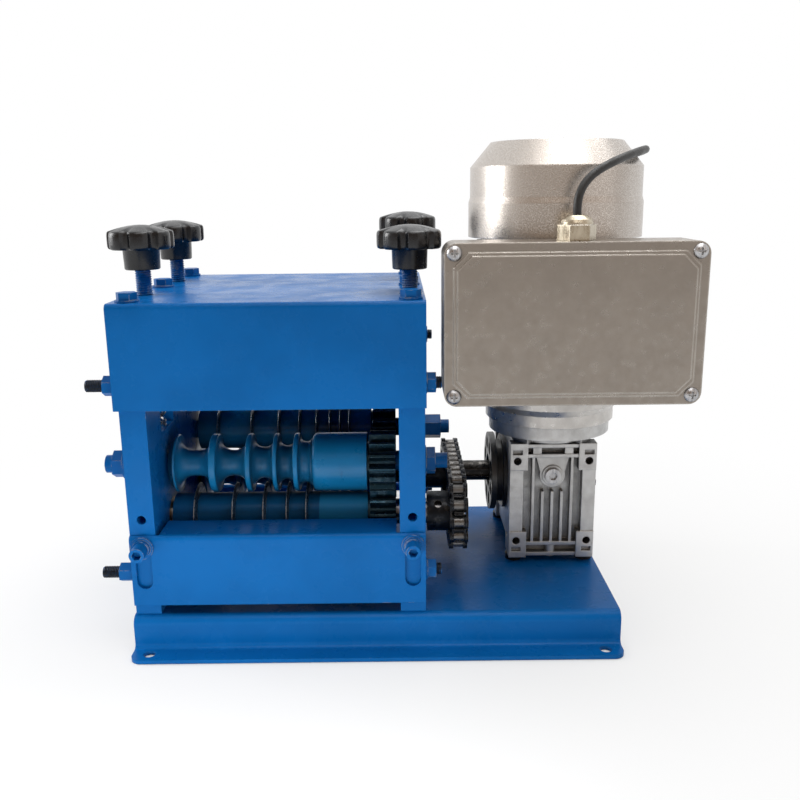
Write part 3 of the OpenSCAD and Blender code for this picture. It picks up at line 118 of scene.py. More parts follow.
class NodeWriter:
    """Writer for the nodes and links of one tree."""

    def __init__(self, tree: bpy.types.NodeTree) -> None:
        """Starts to write in a tree.

        Args:
            tree: the node tree that takes the nodes.
        """
        self.tree = tree

    def feed(self, socket: bpy.types.NodeSocket, value: Any) -> None:
        """Links a socket to another one, or sets its own value.

        Args:
            socket: the input to fill.
            value: an output socket, a number or a colour.
        """
        if isinstance(value, bpy.types.NodeSocket):
            self.tree.links.new(value, socket)
        elif isinstance(value, (tuple, list)) and len(value) == 3 and socket.type == "RGBA":
            socket.default_value = (*value, 1.0)
        else:
            socket.default_value = value

    def node(self, kind: str, props: Optional[dict[str, Any]] = None, **inputs: Any) -> bpy.types.Node:
        """Adds a node.

        Args:
            kind: Blender's node type.
            props: the node's own settings.
            inputs: values or links for its named inputs.

        Returns:
            The new node.
        """
        made = self.tree.nodes.new(kind)
        for key, value in (props or {}).items():
            setattr(made, key, value)
        for key, value in inputs.items():
            self.feed(made.inputs[key], value)
        return made

    def span(self, value: bpy.types.NodeSocket, low: float, high: float, to_low: float = 0.0,
             to_high: float = 1.0) -> bpy.types.NodeSocket:
        """Maps a range of a value smoothly to another range.

        Args:
            value: the socket to map.
            low: where the range starts.
            high: where it ends.
            to_low: the result at the start.
            to_high: the result at the end.

        Returns:
            The mapped value socket.
        """
        made = self.node("ShaderNodeMapRange", {"interpolation_type": "SMOOTHSTEP"}, Value=value)
        for key, number in (("From Min", low), ("From Max", high), ("To Min", to_low), ("To Max", to_high)):
            made.inputs[key].default_value = number
        return made.outputs["Result"]

    def sum(self, operation: str, first: Any, second: Any) -> bpy.types.NodeSocket:
        """Does one step of arithmetic on two values.

        Args:
            operation: Blender's name of the step.
            first: a socket or a number.
            second: a socket or a number.

        Returns:
            The result's value socket.
        """
        made = self.node("ShaderNodeMath", {"operation": operation})
        self.feed(made.inputs[0], first)
        self.feed(made.inputs[1], second)
        return made.outputs[0]

    def layer(self, share: Any, first: bpy.types.NodeSocket,
              second: bpy.types.NodeSocket) -> bpy.types.NodeSocket:
        """Mixes two shaders.

        Args:
            share: how much of the second shader shows.
            first: the first shader.
            second: the second shader.

        Returns:
            The mixed shader's socket.
        """
        made = self.node("ShaderNodeMixShader")
        for socket, value in zip(made.inputs, (share, first, second)):
            self.feed(socket, value)
        return made.outputs[0]


class Shader(NodeWriter):
    """Writer for the node tree of one finish."""

    def __init__(self, name: str) -> None:
        """Starts a material that holds one principled shader.

        Args:
            name: the material's name.
        """
        self.material = bpy.data.materials.new(name)
        self.material.use_nodes = True
        super().__init__(self.material.node_tree)
        self.surface = next(n for n in self.tree.nodes if n.type == "BSDF_PRINCIPLED")
        self._place: Optional[bpy.types.NodeSocket] = None

    def place(self) -> bpy.types.NodeSocket:
        """Makes the surface's own coordinates when they are first asked for.

        Returns:
            The coordinates' socket, in metres.
        """
        if self._place is None:
            self._place = self.node("ShaderNodeTexCoord").outputs["Object"]
        return self._place

    def stretched(self, scale: Point) -> bpy.types.NodeSocket:
        """Gives the coordinates scaled along each axis."""
        made = self.node("ShaderNodeMapping", Vector=self.place(), Scale=scale)
        return made.outputs["Vector"]

    def noise(self, scale: float, detail: float = 3.0, rough: float = 0.55,
              vector: Optional[bpy.types.NodeSocket] = None) -> bpy.types.NodeSocket:
        """Makes cloudy noise.

        Args:
            scale: features per metre.
            detail: octaves.
            rough: weight of the finer octaves.
            vector: coordinates, or the surface's own.

        Returns:
            The noise's value socket.
        """
        made = self.node("ShaderNodeTexNoise", Vector=vector or self.place(), Scale=scale, Detail=detail,
                         Roughness=rough)
        return made.outputs[0]

    def cells(self, scale: float, smooth: float = 0.6) -> bpy.types.NodeSocket:
        """Makes rounded cells, as hammered paint has them."""
        made = self.node("ShaderNodeTexVoronoi", {"feature": "SMOOTH_F1"}, Vector=self.place(), Scale=scale,
                         Smoothness=smooth)
        return made.outputs["Distance"]

    def blend(self, share: Any, first: Any, second: Any) -> bpy.types.NodeSocket:
        """Mixes two colours.

        Args:
            share: how much of the second colour shows.
            first: the first colour.
            second: the second colour.

        Returns:
            The mixed colour socket.
        """
        made = self.node("ShaderNodeMix", {"data_type": "RGBA"})
        self.feed(made.inputs[0], share)
        self.feed(made.inputs[6], first)
        self.feed(made.inputs[7], second)
        return made.outputs[2]

    def round_edges(self, radius: float) -> bpy.types.NodeSocket:
        """Gives a normal that rounds sharp edges over the given radius."""
        return self.node("ShaderNodeBevel", {"samples": 4}, Radius=radius).outputs["Normal"]

    def edges(self, radius: float) -> bpy.types.NodeSocket:
        """Makes a mask that is strong along sharp edges.

        Args:
            radius: how far from an edge the mask reaches.

        Returns:
            The mask's value socket.
        """
        made = self.node("ShaderNodeVectorMath", {"operation": "DOT_PRODUCT"})
        self.feed(made.inputs[0], self.round_edges(radius))
        self.feed(made.inputs[1], self.node("ShaderNodeNewGeometry").outputs["Normal"])
        return self.span(made.outputs["Value"], 0.98, 0.86)

    def corners(self, distance: float, clear: float = 0.75, full: float = 0.25) -> bpy.types.NodeSocket:
        """Gives a mask that is strong in hollows and inner corners.

        Args:
            distance: how far the walls of a hollow may stand apart.
            clear: the open share at which the mask starts.
            full: the open share at which it is complete.

        Returns:
            The mask's value socket.
        """
        made = self.node("ShaderNodeAmbientOcclusion", {"samples": 4}, Distance=distance)
        return self.span(made.outputs["AO"], clear, full)

    def across(self) -> bpy.types.NodeSocket:
        """Gives the place along the machine's width, in metres."""
        return self.node("ShaderNodeSeparateXYZ", Vector=self.place()).outputs["X"]

    def bump(self, height: bpy.types.NodeSocket, strength: float, depth: float,
             normal: Optional[bpy.types.NodeSocket] = None) -> bpy.types.NodeSocket:
        """Turns a height into a normal.

        Args:
            height: the height socket.
            strength: how strongly it shows.
            depth: the height of a full step, in metres.
            normal: a normal to start from.

        Returns:
            The normal socket.
        """
        made = self.node("ShaderNodeBump", Height=height, Strength=strength, Distance=depth)
        if normal is not None:
            self.feed(made.inputs["Normal"], normal)
        return made.outputs["Normal"]

    def dress(self, **inputs: Any) -> bpy.types.Material:
        """Fills the principled shader's inputs.

        Args:
            inputs: values or links, named as the inputs are with underscores for spaces.

        Returns:
            The finished material.
        """
        for key, value in inputs.items():
            self.feed(self.surface.inputs[key.replace("_", " ")], value)
        return self.material


@dataclass(frozen=True)
class SprayPaint:
    """Gloss paint with a faint orange peel, rubbed edges, some oil, painted shade in its hollows and, where
    given, a painted lighter end at the right.
    """

    name: str
    deep: Colour
    fresh: Colour
    bare: Colour = (0.30, 0.31, 0.33)
    roughness: float = 0.27
    wear: float = 0.62
    oil: float = 0.0
    # how strongly hollows take painted shade
    hollow_shade_strength: float = 0.95
    oil_and_shade_colour: Colour = (0.004, 0.012, 0.022)
    gloss: float = 0.1
    # painted light: a lighter tone for the right end, where light falls
    lit_end_tone: Optional[Colour] = None
    lit_end_start: float = -0.0455
    lit_end_fade: float = 0.0005

    def material(self) -> bpy.types.Material:
        """Builds the paint's material.

        Returns:
            The new material.
        """
        s = Shader(self.name)
        tone = s.blend(s.span(s.noise(11.0, 4.0), 0.35, 0.65), self.deep, self.fresh)
        patch = s.noise(85.0, 6.0, 0.65)
        rubbed = s.sum("MULTIPLY", s.edges(0.0011), s.span(patch, self.wear, self.wear + 0.06))
        tone = s.blend(rubbed, tone, self.bare)
        rough = s.span(s.noise(38.0, 5.0, 0.6), 0.3, 0.75, self.roughness - 0.05, self.roughness + 0.12)
        if self.oil > 0:
            smear = s.noise(46.0, 7.0, 0.7, s.stretched((1.0, 0.45, 0.45)))
            # painted shade: hollows darkened towards the oil colour, on top of the real oil smears
            hollow = s.sum("MULTIPLY", s.corners(0.022, 0.95, 0.55), self.hollow_shade_strength)
            oil_and_shade = s.sum("MAXIMUM", s.span(smear, 0.62 - 0.2 * self.oil, 0.78), hollow)
            tone = s.blend(s.sum("MULTIPLY", oil_and_shade, 0.85), tone, self.oil_and_shade_colour)
        # painted light: the right end is painted lighter, where light falls on it
        if self.lit_end_tone is not None:
            painted = s.span(s.across(), self.lit_end_start, self.lit_end_start + self.lit_end_fade)
            tone = s.blend(painted, tone, self.lit_end_tone)
        peel = s.bump(s.noise(620.0, 2.0), 0.12, 0.0003, s.round_edges(0.0008))
        return s.dress(Base_Color=tone, Roughness=rough, Normal=peel, Coat_Weight=0.02, Coat_Roughness=0.12,
                       Specular_IOR_Level=self.gloss)


@dataclass(frozen=True)
class OiledSteel:
    """Dark working steel with oily smears, painted shade in its corners and, on a chain, bright rollers in
    its track.
    """

    name: str
    dark: Colour
    bright: Colour
    grease_and_shade: Colour = (0.022, 0.035, 0.03)
    shine: float = 0.5
    roughness: float = 0.36
    track: Optional[float] = None
    track_half: float = 0.0038
    track_fade: float = 0.0002
    track_tone: Colour = (0.15, 0.145, 0.14)

    def material(self) -> bpy.types.Material:
        """Builds the steel's material.

        Returns:
            The new material.
        """
        s = Shader(self.name)
        polish = s.sum("MULTIPLY", s.span(s.noise(140.0, 6.0), 0.5, 0.72), self.shine)
        worn = s.sum("MAXIMUM", s.edges(0.0007), polish)
        tone = s.blend(worn, self.dark, self.bright)
        # coat holds the oily smears and painted shade in the corners; both darken towards the same tone
        coat = s.sum("MAXIMUM", s.corners(0.004), s.span(s.noise(90.0, 5.0, 0.6), 0.56, 0.7))
        if self.track is not None:
            aside = s.sum("ABSOLUTE", s.sum("SUBTRACT", s.across(), self.track), 0.0)
            run = s.span(aside, self.track_half, self.track_half - self.track_fade)
            tone = s.blend(run, tone, self.track_tone)
            coat = s.sum("MULTIPLY", coat, s.span(run, 0.0, 1.0, 1.0, 0.35))
        tone = s.blend(s.sum("MULTIPLY", coat, 0.9), tone, self.grease_and_shade)
        rough = s.span(s.noise(210.0, 4.0), 0.3, 0.7, self.roughness - 0.12, self.roughness + 0.16)
        metal = s.span(coat, 0.2, 0.9, 0.9, 0.25)
        normal = s.bump(s.noise(800.0, 3.0), 0.22, 0.0003, s.round_edges(0.0004))
        return s.dress(Base_Color=tone, Metallic=metal, Roughness=rough, Normal=normal)


@dataclass(frozen=True)
class CastMetal:
    """Silver-grey casting with a sandy skin, painted shade in its hollows and a painted highlight along its
    edges.
    """

    name: str
    tone: Colour
    # colour of the painted shade in hollows
    hollow: Colour
    grain: float = 900.0
    relief: float = 0.3
    roughness: float = 0.42
    # colour of the painted highlight along edges
    edge: Colour = (0.78, 0.78, 0.77)
    rim: float = 0.0009
    mottle: float = 0.22

    def material(self) -> bpy.types.Material:
        """Builds the casting's material.

        Returns:
            The new material.
        """
        s = Shader(self.name)
        shade = tuple(c * (1.0 - self.mottle) for c in self.tone)
        tone = s.blend(s.span(s.noise(48.0, 6.0, 0.65), 0.3, 0.7), shade, self.tone)
        # painted shade: hollows darkened towards the hollow colour
        tone = s.blend(s.sum("MULTIPLY", s.corners(0.012), 0.8), tone, self.hollow)
        # painted highlight: sharp edges lightened towards the edge colour
        tone = s.blend(s.sum("MULTIPLY", s.edges(self.rim), 0.6), tone, self.edge)
        rough = s.span(s.noise(170.0, 4.0), 0.3, 0.7, self.roughness - 0.08, self.roughness + 0.12)
        skin = s.sum("ADD", s.noise(self.grain, 3.0, 0.6), s.noise(self.grain * 0.3, 2.0))
        normal = s.bump(skin, self.relief, 0.0004, s.round_edges(0.001))
        return s.dress(Base_Color=tone, Metallic=0.85, Roughness=rough, Normal=normal)


@dataclass(frozen=True)
class HammeredPaint:
    """Silver paint that has drawn together into small cells."""

    name: str
    light: Colour
    dark: Colour
    cell: float
    edge: Colour = (0.82, 0.82, 0.8)

    def material(self) -> bpy.types.Material:
        """Builds the hammered paint's material.

        Returns:
            The new material.
        """
        s = Shader(self.name)
        cells = s.cells(self.cell)
        tone = s.blend(s.span(cells, 0.2, 0.66), self.light, self.dark)
        tone = s.blend(s.span(s.noise(30.0, 4.0), 0.3, 0.75, 0.0, 0.2), tone, self.dark)
        # painted highlight: sharp edges lightened towards the edge tone
        tone = s.blend(s.sum("MULTIPLY", s.edges(0.0014), 0.5), tone, self.edge)
        rough = s.span(cells, 0.2, 0.7, 0.24, 0.36)
        normal = s.bump(cells, 0.12, 0.0003, s.round_edges(0.0016))
        return s.dress(Base_Color=tone, Metallic=0.8, Roughness=rough, Normal=normal)


@dataclass(frozen=True)
class DrawnMetal:
    """Machined or drawn metal with fine lines along one direction."""

    name: str
    tone: Colour
    shade: Colour
    lines: Point = (6.0, 900.0, 900.0)
    roughness: float = 0.32
    relief: float = 0.12
    metal: float = 0.95
    bevel: float = 0.0008
    edge: Colour = (0.8, 0.79, 0.77)

    def material(self) -> bpy.types.Material:
        """Builds the metal's material.

        Returns:
            The new material.
        """
        s = Shader(self.name)
        streak = s.noise(1.0, 4.0, 0.6, s.stretched(self.lines))
        cloud = s.noise(17.0, 4.0)
        worn = s.span(s.sum("MULTIPLY", streak, s.sum("ADD", cloud, 0.5)), 0.3, 0.7)
        corner_shade = tuple(c * 0.45 for c in self.shade)
        tone = s.blend(worn, self.shade, self.tone)
        # painted shade: corners darkened towards a darker copy of the shade tone
        tone = s.blend(s.sum("MULTIPLY", s.corners(0.004), 0.5), tone, corner_shade)
        # painted highlight: sharp edges lightened towards the edge tone
        tone = s.blend(s.sum("MULTIPLY", s.edges(self.bevel), 0.55), tone, self.edge)
        rough = s.span(streak, 0.25, 0.75, self.roughness - 0.06, self.roughness + 0.1)
        lines = s.sum("ADD", streak, s.noise(700.0, 2.0))
        normal = s.bump(lines, self.relief, 0.0002, s.round_edges(self.bevel))
        return s.dress(Base_Color=tone, Metallic=self.metal, Roughness=rough, Normal=normal)


@dataclass(frozen=True)
class Moulding:
    """Moulded plastic or rubber with a faint skin and dust in its hollows."""

    name: str
    tone: Colour
    dust: Colour
    roughness: float = 0.2
    coat: float = 0.4
    relief: float = 0.05
    grain: float = 700.0

    def material(self) -> bpy.types.Material:
        """Builds the moulding's material.

        Returns:
            The new material.
        """
        s = Shader(self.name)
        dusty = s.sum("MULTIPLY", s.span(s.noise(60.0, 5.0, 0.65), 0.45, 0.8), 0.5)
        dusty = s.sum("MAXIMUM", dusty, s.sum("MULTIPLY", s.corners(0.005), 0.35))
        tone = s.blend(dusty, self.tone, self.dust)
        rough = s.span(s.noise(120.0, 5.0), 0.3, 0.75, self.roughness - 0.05, self.roughness + 0.14)
        normal = s.bump(s.noise(self.grain, 3.0), self.relief, 0.0003, s.round_edges(0.0006))
        return s.dress(Base_Color=tone, Roughness=rough, Normal=normal, Coat_Weight=self.coat,
                       Coat_Roughness=0.1)


@dataclass(frozen=True)
class Windings:
    """Lacquered copper between laminated iron."""

    name: str = "lacquered_windings"
    iron: Colour = (0.09, 0.08, 0.075)
    copper: Colour = (0.28, 0.11, 0.05)

    def material(self) -> bpy.types.Material:
        """Builds the windings' material.

        Returns:
            The new material.
        """
        s = Shader(self.name)
        sheets = s.noise(1.0, 2.0, 0.5, s.stretched((20.0, 20.0, 2200.0)))
        tone = s.blend(s.span(sheets, 0.4, 0.6), self.iron, self.copper)
        return s.dress(Base_Color=tone, Metallic=0.7, Roughness=s.span(sheets, 0.3, 0.7, 0.35, 0.55),
                       Normal=s.bump(sheets, 0.4, 0.0004))


class FinishShelf:
    """Holds each finish of the machine, built once when it is first asked for."""

    BLUE = SprayPaint("frame_blue", (0.002, 0.105, 0.34), (0.003, 0.125, 0.4))
    ROLLER_BLUE = SprayPaint("roller_blue", (0.004, 0.14, 0.32), (0.008, 0.19, 0.44),
                             roughness=0.3, wear=0.52, oil=0.2, gloss=0.4)
    # a darker copy of the roller blue, painted shade for the spacers under the upper roller, with a painted
    # lighter right end
    SHADED_SPACER_BLUE = SprayPaint("shaded_spacer_blue", (0.003, 0.085, 0.21), (0.006, 0.12, 0.31), roughness=0.33,
                             wear=0.5, oil=0.25, hollow_shade_strength=0.35, gloss=0.12, lit_end_tone=(0.015, 0.19, 0.38))
    BOLT_BLUE = SprayPaint("bolt_blue", (0.002, 0.09, 0.29), (0.004, 0.12, 0.38), roughness=0.31, wear=0.48)
    BLADE = DrawnMetal("blade_steel", (0.42, 0.43, 0.44), (0.13, 0.14, 0.15), (40.0, 500.0, 500.0), 0.3)
    GEAR = OiledSteel("gear_steel", (0.014, 0.045, 0.07), (0.12, 0.2, 0.25), (0.012, 0.052, 0.085))
    CHAIN = OiledSteel("chain_steel", (0.012, 0.014, 0.018), (0.16, 0.155, 0.15), (0.008, 0.01, 0.012),
                       shine=0.25, roughness=0.34, track=0.063)
    SPROCKET = OiledSteel("sprocket_steel", (0.014, 0.016, 0.02), (0.17, 0.165, 0.16), (0.008, 0.01, 0.013),
                          shine=0.3)
    SHAFT = OiledSteel("shaft_steel", (0.03, 0.028, 0.026), (0.2, 0.19, 0.18), (0.014, 0.014, 0.012),
                       shine=0.45, roughness=0.34)
    ROD_BLACK = OiledSteel("blackened_rod", (0.012, 0.014, 0.018), (0.08, 0.085, 0.095), (0.006, 0.008, 0.01),
                           shine=0.3, roughness=0.42)
    STEEL = DrawnMetal("turned_steel", (0.52, 0.52, 0.53), (0.3, 0.3, 0.31), (700.0, 60.0, 60.0), 0.28)
    SPRING = DrawnMetal("spring_steel", (0.46, 0.46, 0.47), (0.18, 0.18, 0.19), (300.0, 300.0, 300.0), 0.26)
    CASTING = CastMetal("gearbox_casting", (0.56, 0.56, 0.555), (0.08, 0.08, 0.08))
    MOTOR = CastMetal("motor_casting", (0.6, 0.58, 0.555), (0.12, 0.115, 0.11), grain=650.0, relief=0.22,
                      roughness=0.34)
    COVER_DARK = CastMetal("side_cover_casting", (0.1, 0.1, 0.1), (0.02, 0.02, 0.02),
                           grain=700.0, relief=0.25, edge=(0.3, 0.3, 0.3))
    HAMMERED = HammeredPaint("hammered_silver", (0.62, 0.58, 0.54), (0.5, 0.455, 0.415), 950.0)
    # wide rims for a broad painted highlight along the lid's edges
    BOX = CastMetal("box_alloy", (0.31, 0.275, 0.24), (0.13, 0.115, 0.1), grain=1500.0, relief=0.04,
                    roughness=0.34, edge=(0.74, 0.71, 0.66), rim=0.002, mottle=0.09)
    GLAND = DrawnMetal("gland_nickel", (0.6, 0.54, 0.43), (0.4, 0.34, 0.25), (200.0, 200.0, 60.0), 0.26)
    BRONZE = DrawnMetal("bearing_bronze", (0.5, 0.34, 0.16), (0.28, 0.18, 0.08), (500.0, 60.0, 60.0), 0.34)
    KNOB = Moulding("knob_phenolic", (0.004, 0.005, 0.007), (0.01, 0.012, 0.016), roughness=0.26, coat=0.08)
    PLUG = Moulding("plug_plastic", (0.012, 0.012, 0.012), (0.04, 0.04, 0.04), roughness=0.36, coat=0.1,
                    relief=0.1)
    FAN = Moulding("fan_nylon", (0.02, 0.02, 0.02), (0.06, 0.06, 0.055), roughness=0.5, coat=0.0, relief=0.12)
    RUBBER = Moulding("lead_sheath", (0.014, 0.014, 0.014), (0.045, 0.045, 0.043), roughness=0.46, coat=0.0,
                      relief=0.16, grain=1200.0)
    COPPER = Windings()

    _made: dict[str, bpy.types.Material] = {}

    @classmethod
    def get(cls, finish: Any) -> bpy.types.Material:
        """Gives a finish's material, building it if it is new.

        Args:
            finish: one of the shelf's finishes.

        Returns:
            The material.
        """
        if finish.name not in cls._made:
            cls._made[finish.name] = finish.material()
        return cls._made[finish.name]


class MeshMaker:
    """Collects points and faces, then makes one shaded piece of them."""

    def __init__(self) -> None:
        """Starts with no points."""
        self.points: list[Vector] = []
        self.faces: list[tuple[int, ...]] = []

    def rings(self, rows: Sequence[Sequence[Point]], place: Matrix, cap: bool = True) -> None:
        """Joins rings of points with quads.

        Args:
            rows: rings of equal length, each closed.
            place: where the rings go.
            cap: whether the first and last ring are filled.
        """
        start, width = len(self.points), len(rows[0])
        self.points += [place @ Vector(p) for row in rows for p in row]
        for i in range(len(rows) - 1):
            for j in range(width):
                k = (j + 1) % width
                low, high = start + i * width, start + (i + 1) * width
                self.faces.append((low + j, low + k, high + k, high + j))
        if cap:
            self.faces.append(tuple(start + j for j in reversed(range(width))))
            self.faces.append(tuple(start + (len(rows) - 1) * width + j for j in range(width)))

    def piece(self, name: str, body: str, finish: Any, sharp: float = 35.0) -> bpy.types.Object:
        """Makes the piece and lets it ride on a body.

        Args:
            name: the piece's name.
            body: the CAD body that carries it.
            finish: its finish.
            sharp: the angle in degrees above which an edge stays sharp.

        Returns:
            The new object.
        """
        mesh = bpy.data.meshes.new(name)
        mesh.from_pydata(self.points, [], self.faces)
        mesh.validate()
        mesh.polygons.foreach_set("use_smooth", [True] * len(mesh.polygons))
        mesh.set_sharp_from_angle(angle=math.radians(sharp))
        mesh.materials.append(FinishShelf.get(finish))
        obj = stand(name, mesh)
        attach(obj, body)
        LOG.info("made %s on %s", name, body)
        return obj


def circle(radius: float, height: float, count: int) -> list[Point]:
    """Gives a ring of points round the third axis."""
    turn = 2 * math.pi / count
    return [(radius * math.cos(turn * j), radius * math.sin(turn * j), height) for j in range(count)]


@dataclass
class ScrewThread:
    """Helical thread on a rod, standing a hair proud of the plain bar under it."""

    radius: float
    pitch: float
    length: float
    depth: float
    columns: int = 18
    steps: int = 6
    chamfer: float = 1.2
    flank: float = 1.5
    crest: float = 0.25

    def rows(self) -> list[list[Point]]:
        """Works out the thread's rings.

        Returns:
            The rings from the thread's start to its chamfered end.
        """
        count = int(self.length / self.pitch * self.steps)
        bevel = self.chamfer * self.depth + 1e-9
        rows = []
        for i in range(count + 1):
            z = self.length * i / count
            ease = min(1.0, (self.length - z) / bevel)
            ring = []
            for j in range(self.columns):
                share = j / self.columns
                wave = abs(((z / self.pitch - share) % 1.0) * 2.0 - 1.0)
                groove = min(1.0, max(0.0, wave * self.flank - self.crest))
                r = self.radius - self.depth * groove - self.depth * (1.0 - ease)
                a = 2 * math.pi * share
                ring.append((r * math.cos(a), r * math.sin(a), z))
            rows.append(ring)
        return rows


@dataclass
class StarKnob:
    """Seven-lobed knob with a domed top, a tapered hub and a threaded stud."""

    roller: Roller
    side: Side
    radius: float = 24.5
    waist: float = 0.93
    hub: float = 13.4
    hub_low: float = 281.0
    rim_low: float = 296.0
    rim: float = 12.8
    dome: float = 5.0
    dome_sink: float = 0.2
    stud_low: float = 200.9
    stud_radius: float = 6.0
    stud_depth: float = 0.75
    stud_grip: float = 4.0
    lobes: int = 7
    lobe_points: int = 26
    hub_points: int = 48
    stud_points: int = 22

    def at(self, height: float) -> Matrix:
        """Gives the place on the knob's axis at a height."""
        up = height + knob_up(self.roller, self.side)
        return Matrix.Translation((mm(self.side.value), mm(self.roller.value), mm(up)))

    def lobe(self, share: float) -> float:
        """Works out the rim's radius within one lobe.

        Args:
            share: the place within the lobe, from -0.5 to 0.5.

        Returns:
            The radius in millimetres.
        """
        edge, dip, crown = 0.33, 3.4, 1.1
        if abs(share) <= edge:
            return self.radius - crown * (share / edge) ** 2
        t = (abs(share) - edge) / (0.5 - edge)
        return self.radius - crown - dip * math.sqrt(max(0.0, 1.0 - (1.0 - t) ** 2))

    def ring(self, scale: float, height: float, lobed: float) -> list[Point]:
        """Gives one ring of the head.

        Args:
            scale: share of the rim's radius.
            height: height above the rim's lower edge.
            lobed: how far the ring follows the lobes.

        Returns:
            The ring's points.
        """
        count = self.lobes * self.lobe_points
        ring = []
        for j in range(count):
            share = ((j / self.lobe_points) % 1.0) - 0.5
            r = scale * (self.radius * self.waist * (1 - lobed) + self.lobe(share) * lobed)
            a = 2 * math.pi * j / count
            ring.append((mm(r * math.cos(a)), mm(r * math.sin(a)), mm(height)))
        return ring

    def head(self) -> list[list[Point]]:
        """Works out the head's shape.

        Returns:
            The head's rings, from the underside up to the top.
        """
        foot = ((0.5, 0.6, 0.0), (0.8, 0.1, 0.7), (0.93, 0.0, 1.0), (0.975, 0.7, 1.0), (0.996, 2.0, 1.0),
                (1.0, 4.0, 1.0))
        shoulder = ((1.0, 3.4), (0.996, 1.9), (0.982, 0.6))
        rows = [self.ring(*row) for row in foot]
        rows += [self.ring(scale, self.rim - below, 1.0) for scale, below in shoulder]
        for scale in (0.955, 0.9, 0.8, 0.68, 0.54, 0.38, 0.2, 0.06):
            height = self.rim + self.dome * (1.0 - scale * scale) - self.dome_sink
            rows.append(self.ring(scale, height, max(0.0, scale * 2.2 - 1.1)))
        return rows

    def build(self) -> None:
        """Makes the knob and its stud in place of the plain solid."""
        body = f"knob_{self.roller.word}_{self.side.word}"
        head = MeshMaker()
        head.rings(self.head(), self.at(self.rim_low))
        profile = ((-1.2, 0.0), (-0.5, 0.5), (-0.4, 1.4), (0.0, 14.0), (0.8, 15.2), (1.6, 15.8))
        hub = [circle(mm(self.hub + out), mm(z), self.hub_points) for out, z in profile]
        head.rings(hub, self.at(self.hub_low))
        knob = head.piece(f"{body}_head", body, FinishShelf.KNOB, 38.0)
        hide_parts(body)
        stud = MeshMaker()
        length = self.hub_low + self.stud_grip - self.stud_low
        thread = ScrewThread(mm(self.stud_radius), mm(STUD_PITCH), mm(length), mm(self.stud_depth),
                             self.stud_points)
        stud.rings(thread.rows(), self.at(self.stud_low))
        stud.piece(f"{body}_stud", body, FinishShelf.BOLT_BLUE, 30.0)


@dataclass(frozen=True)
class ThreadedEnd:
    """End of a rod or axle: the way it points, where its thread starts and the thread's sizes."""

    axis: Axis
    start: float
    length: float
    radius: float
    pitch: float
    proud: float
    depth: float = 0.4

    def cut(self, maker: MeshMaker, y: float, z: float) -> None:
        """Adds the end's thread to a mesh.

        Args:
            maker: the mesh that takes it.
            y: the rod's place from front to rear, in millimetres.
            z: the rod's height.
        """
        place = Matrix.Translation((mm(self.start), mm(y), mm(z))) @ self.axis.value
        thread = ScrewThread(mm(self.radius + self.proud), mm(self.pitch), mm(self.length),
                             mm(self.depth * self.pitch))
        maker.rings(thread.rows(), place)


@dataclass
class RodThreads:
    """Visible threads on the ends of the tie rods and roller axles."""

    rods: tuple[tuple[float, float], ...] = ((-98.0, 201.5), (-98.0, 57.0), (90.0, 206.0), (90.0, 57.0))
    rod_ends: tuple[ThreadedEnd, ...] = (
        ThreadedEnd(Axis.LEFT, PLATE_LEFT - 12.7, length=13.02, radius=4.0, pitch=1.25, proud=0.54),
        ThreadedEnd(Axis.RIGHT, PLATE_RIGHT + 8.2, length=4.02, radius=4.0, pitch=1.25, proud=0.54))
    axle_z: float = 129.5
    left_end: ThreadedEnd = ThreadedEnd(
        Axis.LEFT, PLATE_LEFT - 24.6, length=5.89, radius=7.0, pitch=2.0, proud=0.06)
    front_right_end: ThreadedEnd = ThreadedEnd(
        Axis.RIGHT, PLATE_RIGHT + 9.2, length=9.52, radius=6.0, pitch=1.75, proud=0.06)
    rear_right_end: ThreadedEnd = ThreadedEnd(
        Axis.RIGHT, PLATE_RIGHT + 18.2, length=7.52, radius=6.0, pitch=1.75, proud=0.06)

    def build(self) -> None:
        """Makes the threads of the rods, and those of each axle on its carriage."""
        threads = MeshMaker()
        for y, z in self.rods:
            for end in self.rod_ends:
                end.cut(threads, y, z)
        threads.piece("tie_rod_threads", "frame", FinishShelf.ROD_BLACK)
        for roller, right_end in ((Roller.FRONT, self.front_right_end), (Roller.REAR, self.rear_right_end)):
            axle = MeshMaker()
            for end in (self.left_end, right_end):
                end.cut(axle, roller.value, self.axle_z)
            axle.piece(f"{roller.word}_axle_threads", f"{roller.word}_carriage", FinishShelf.BOLT_BLUE)


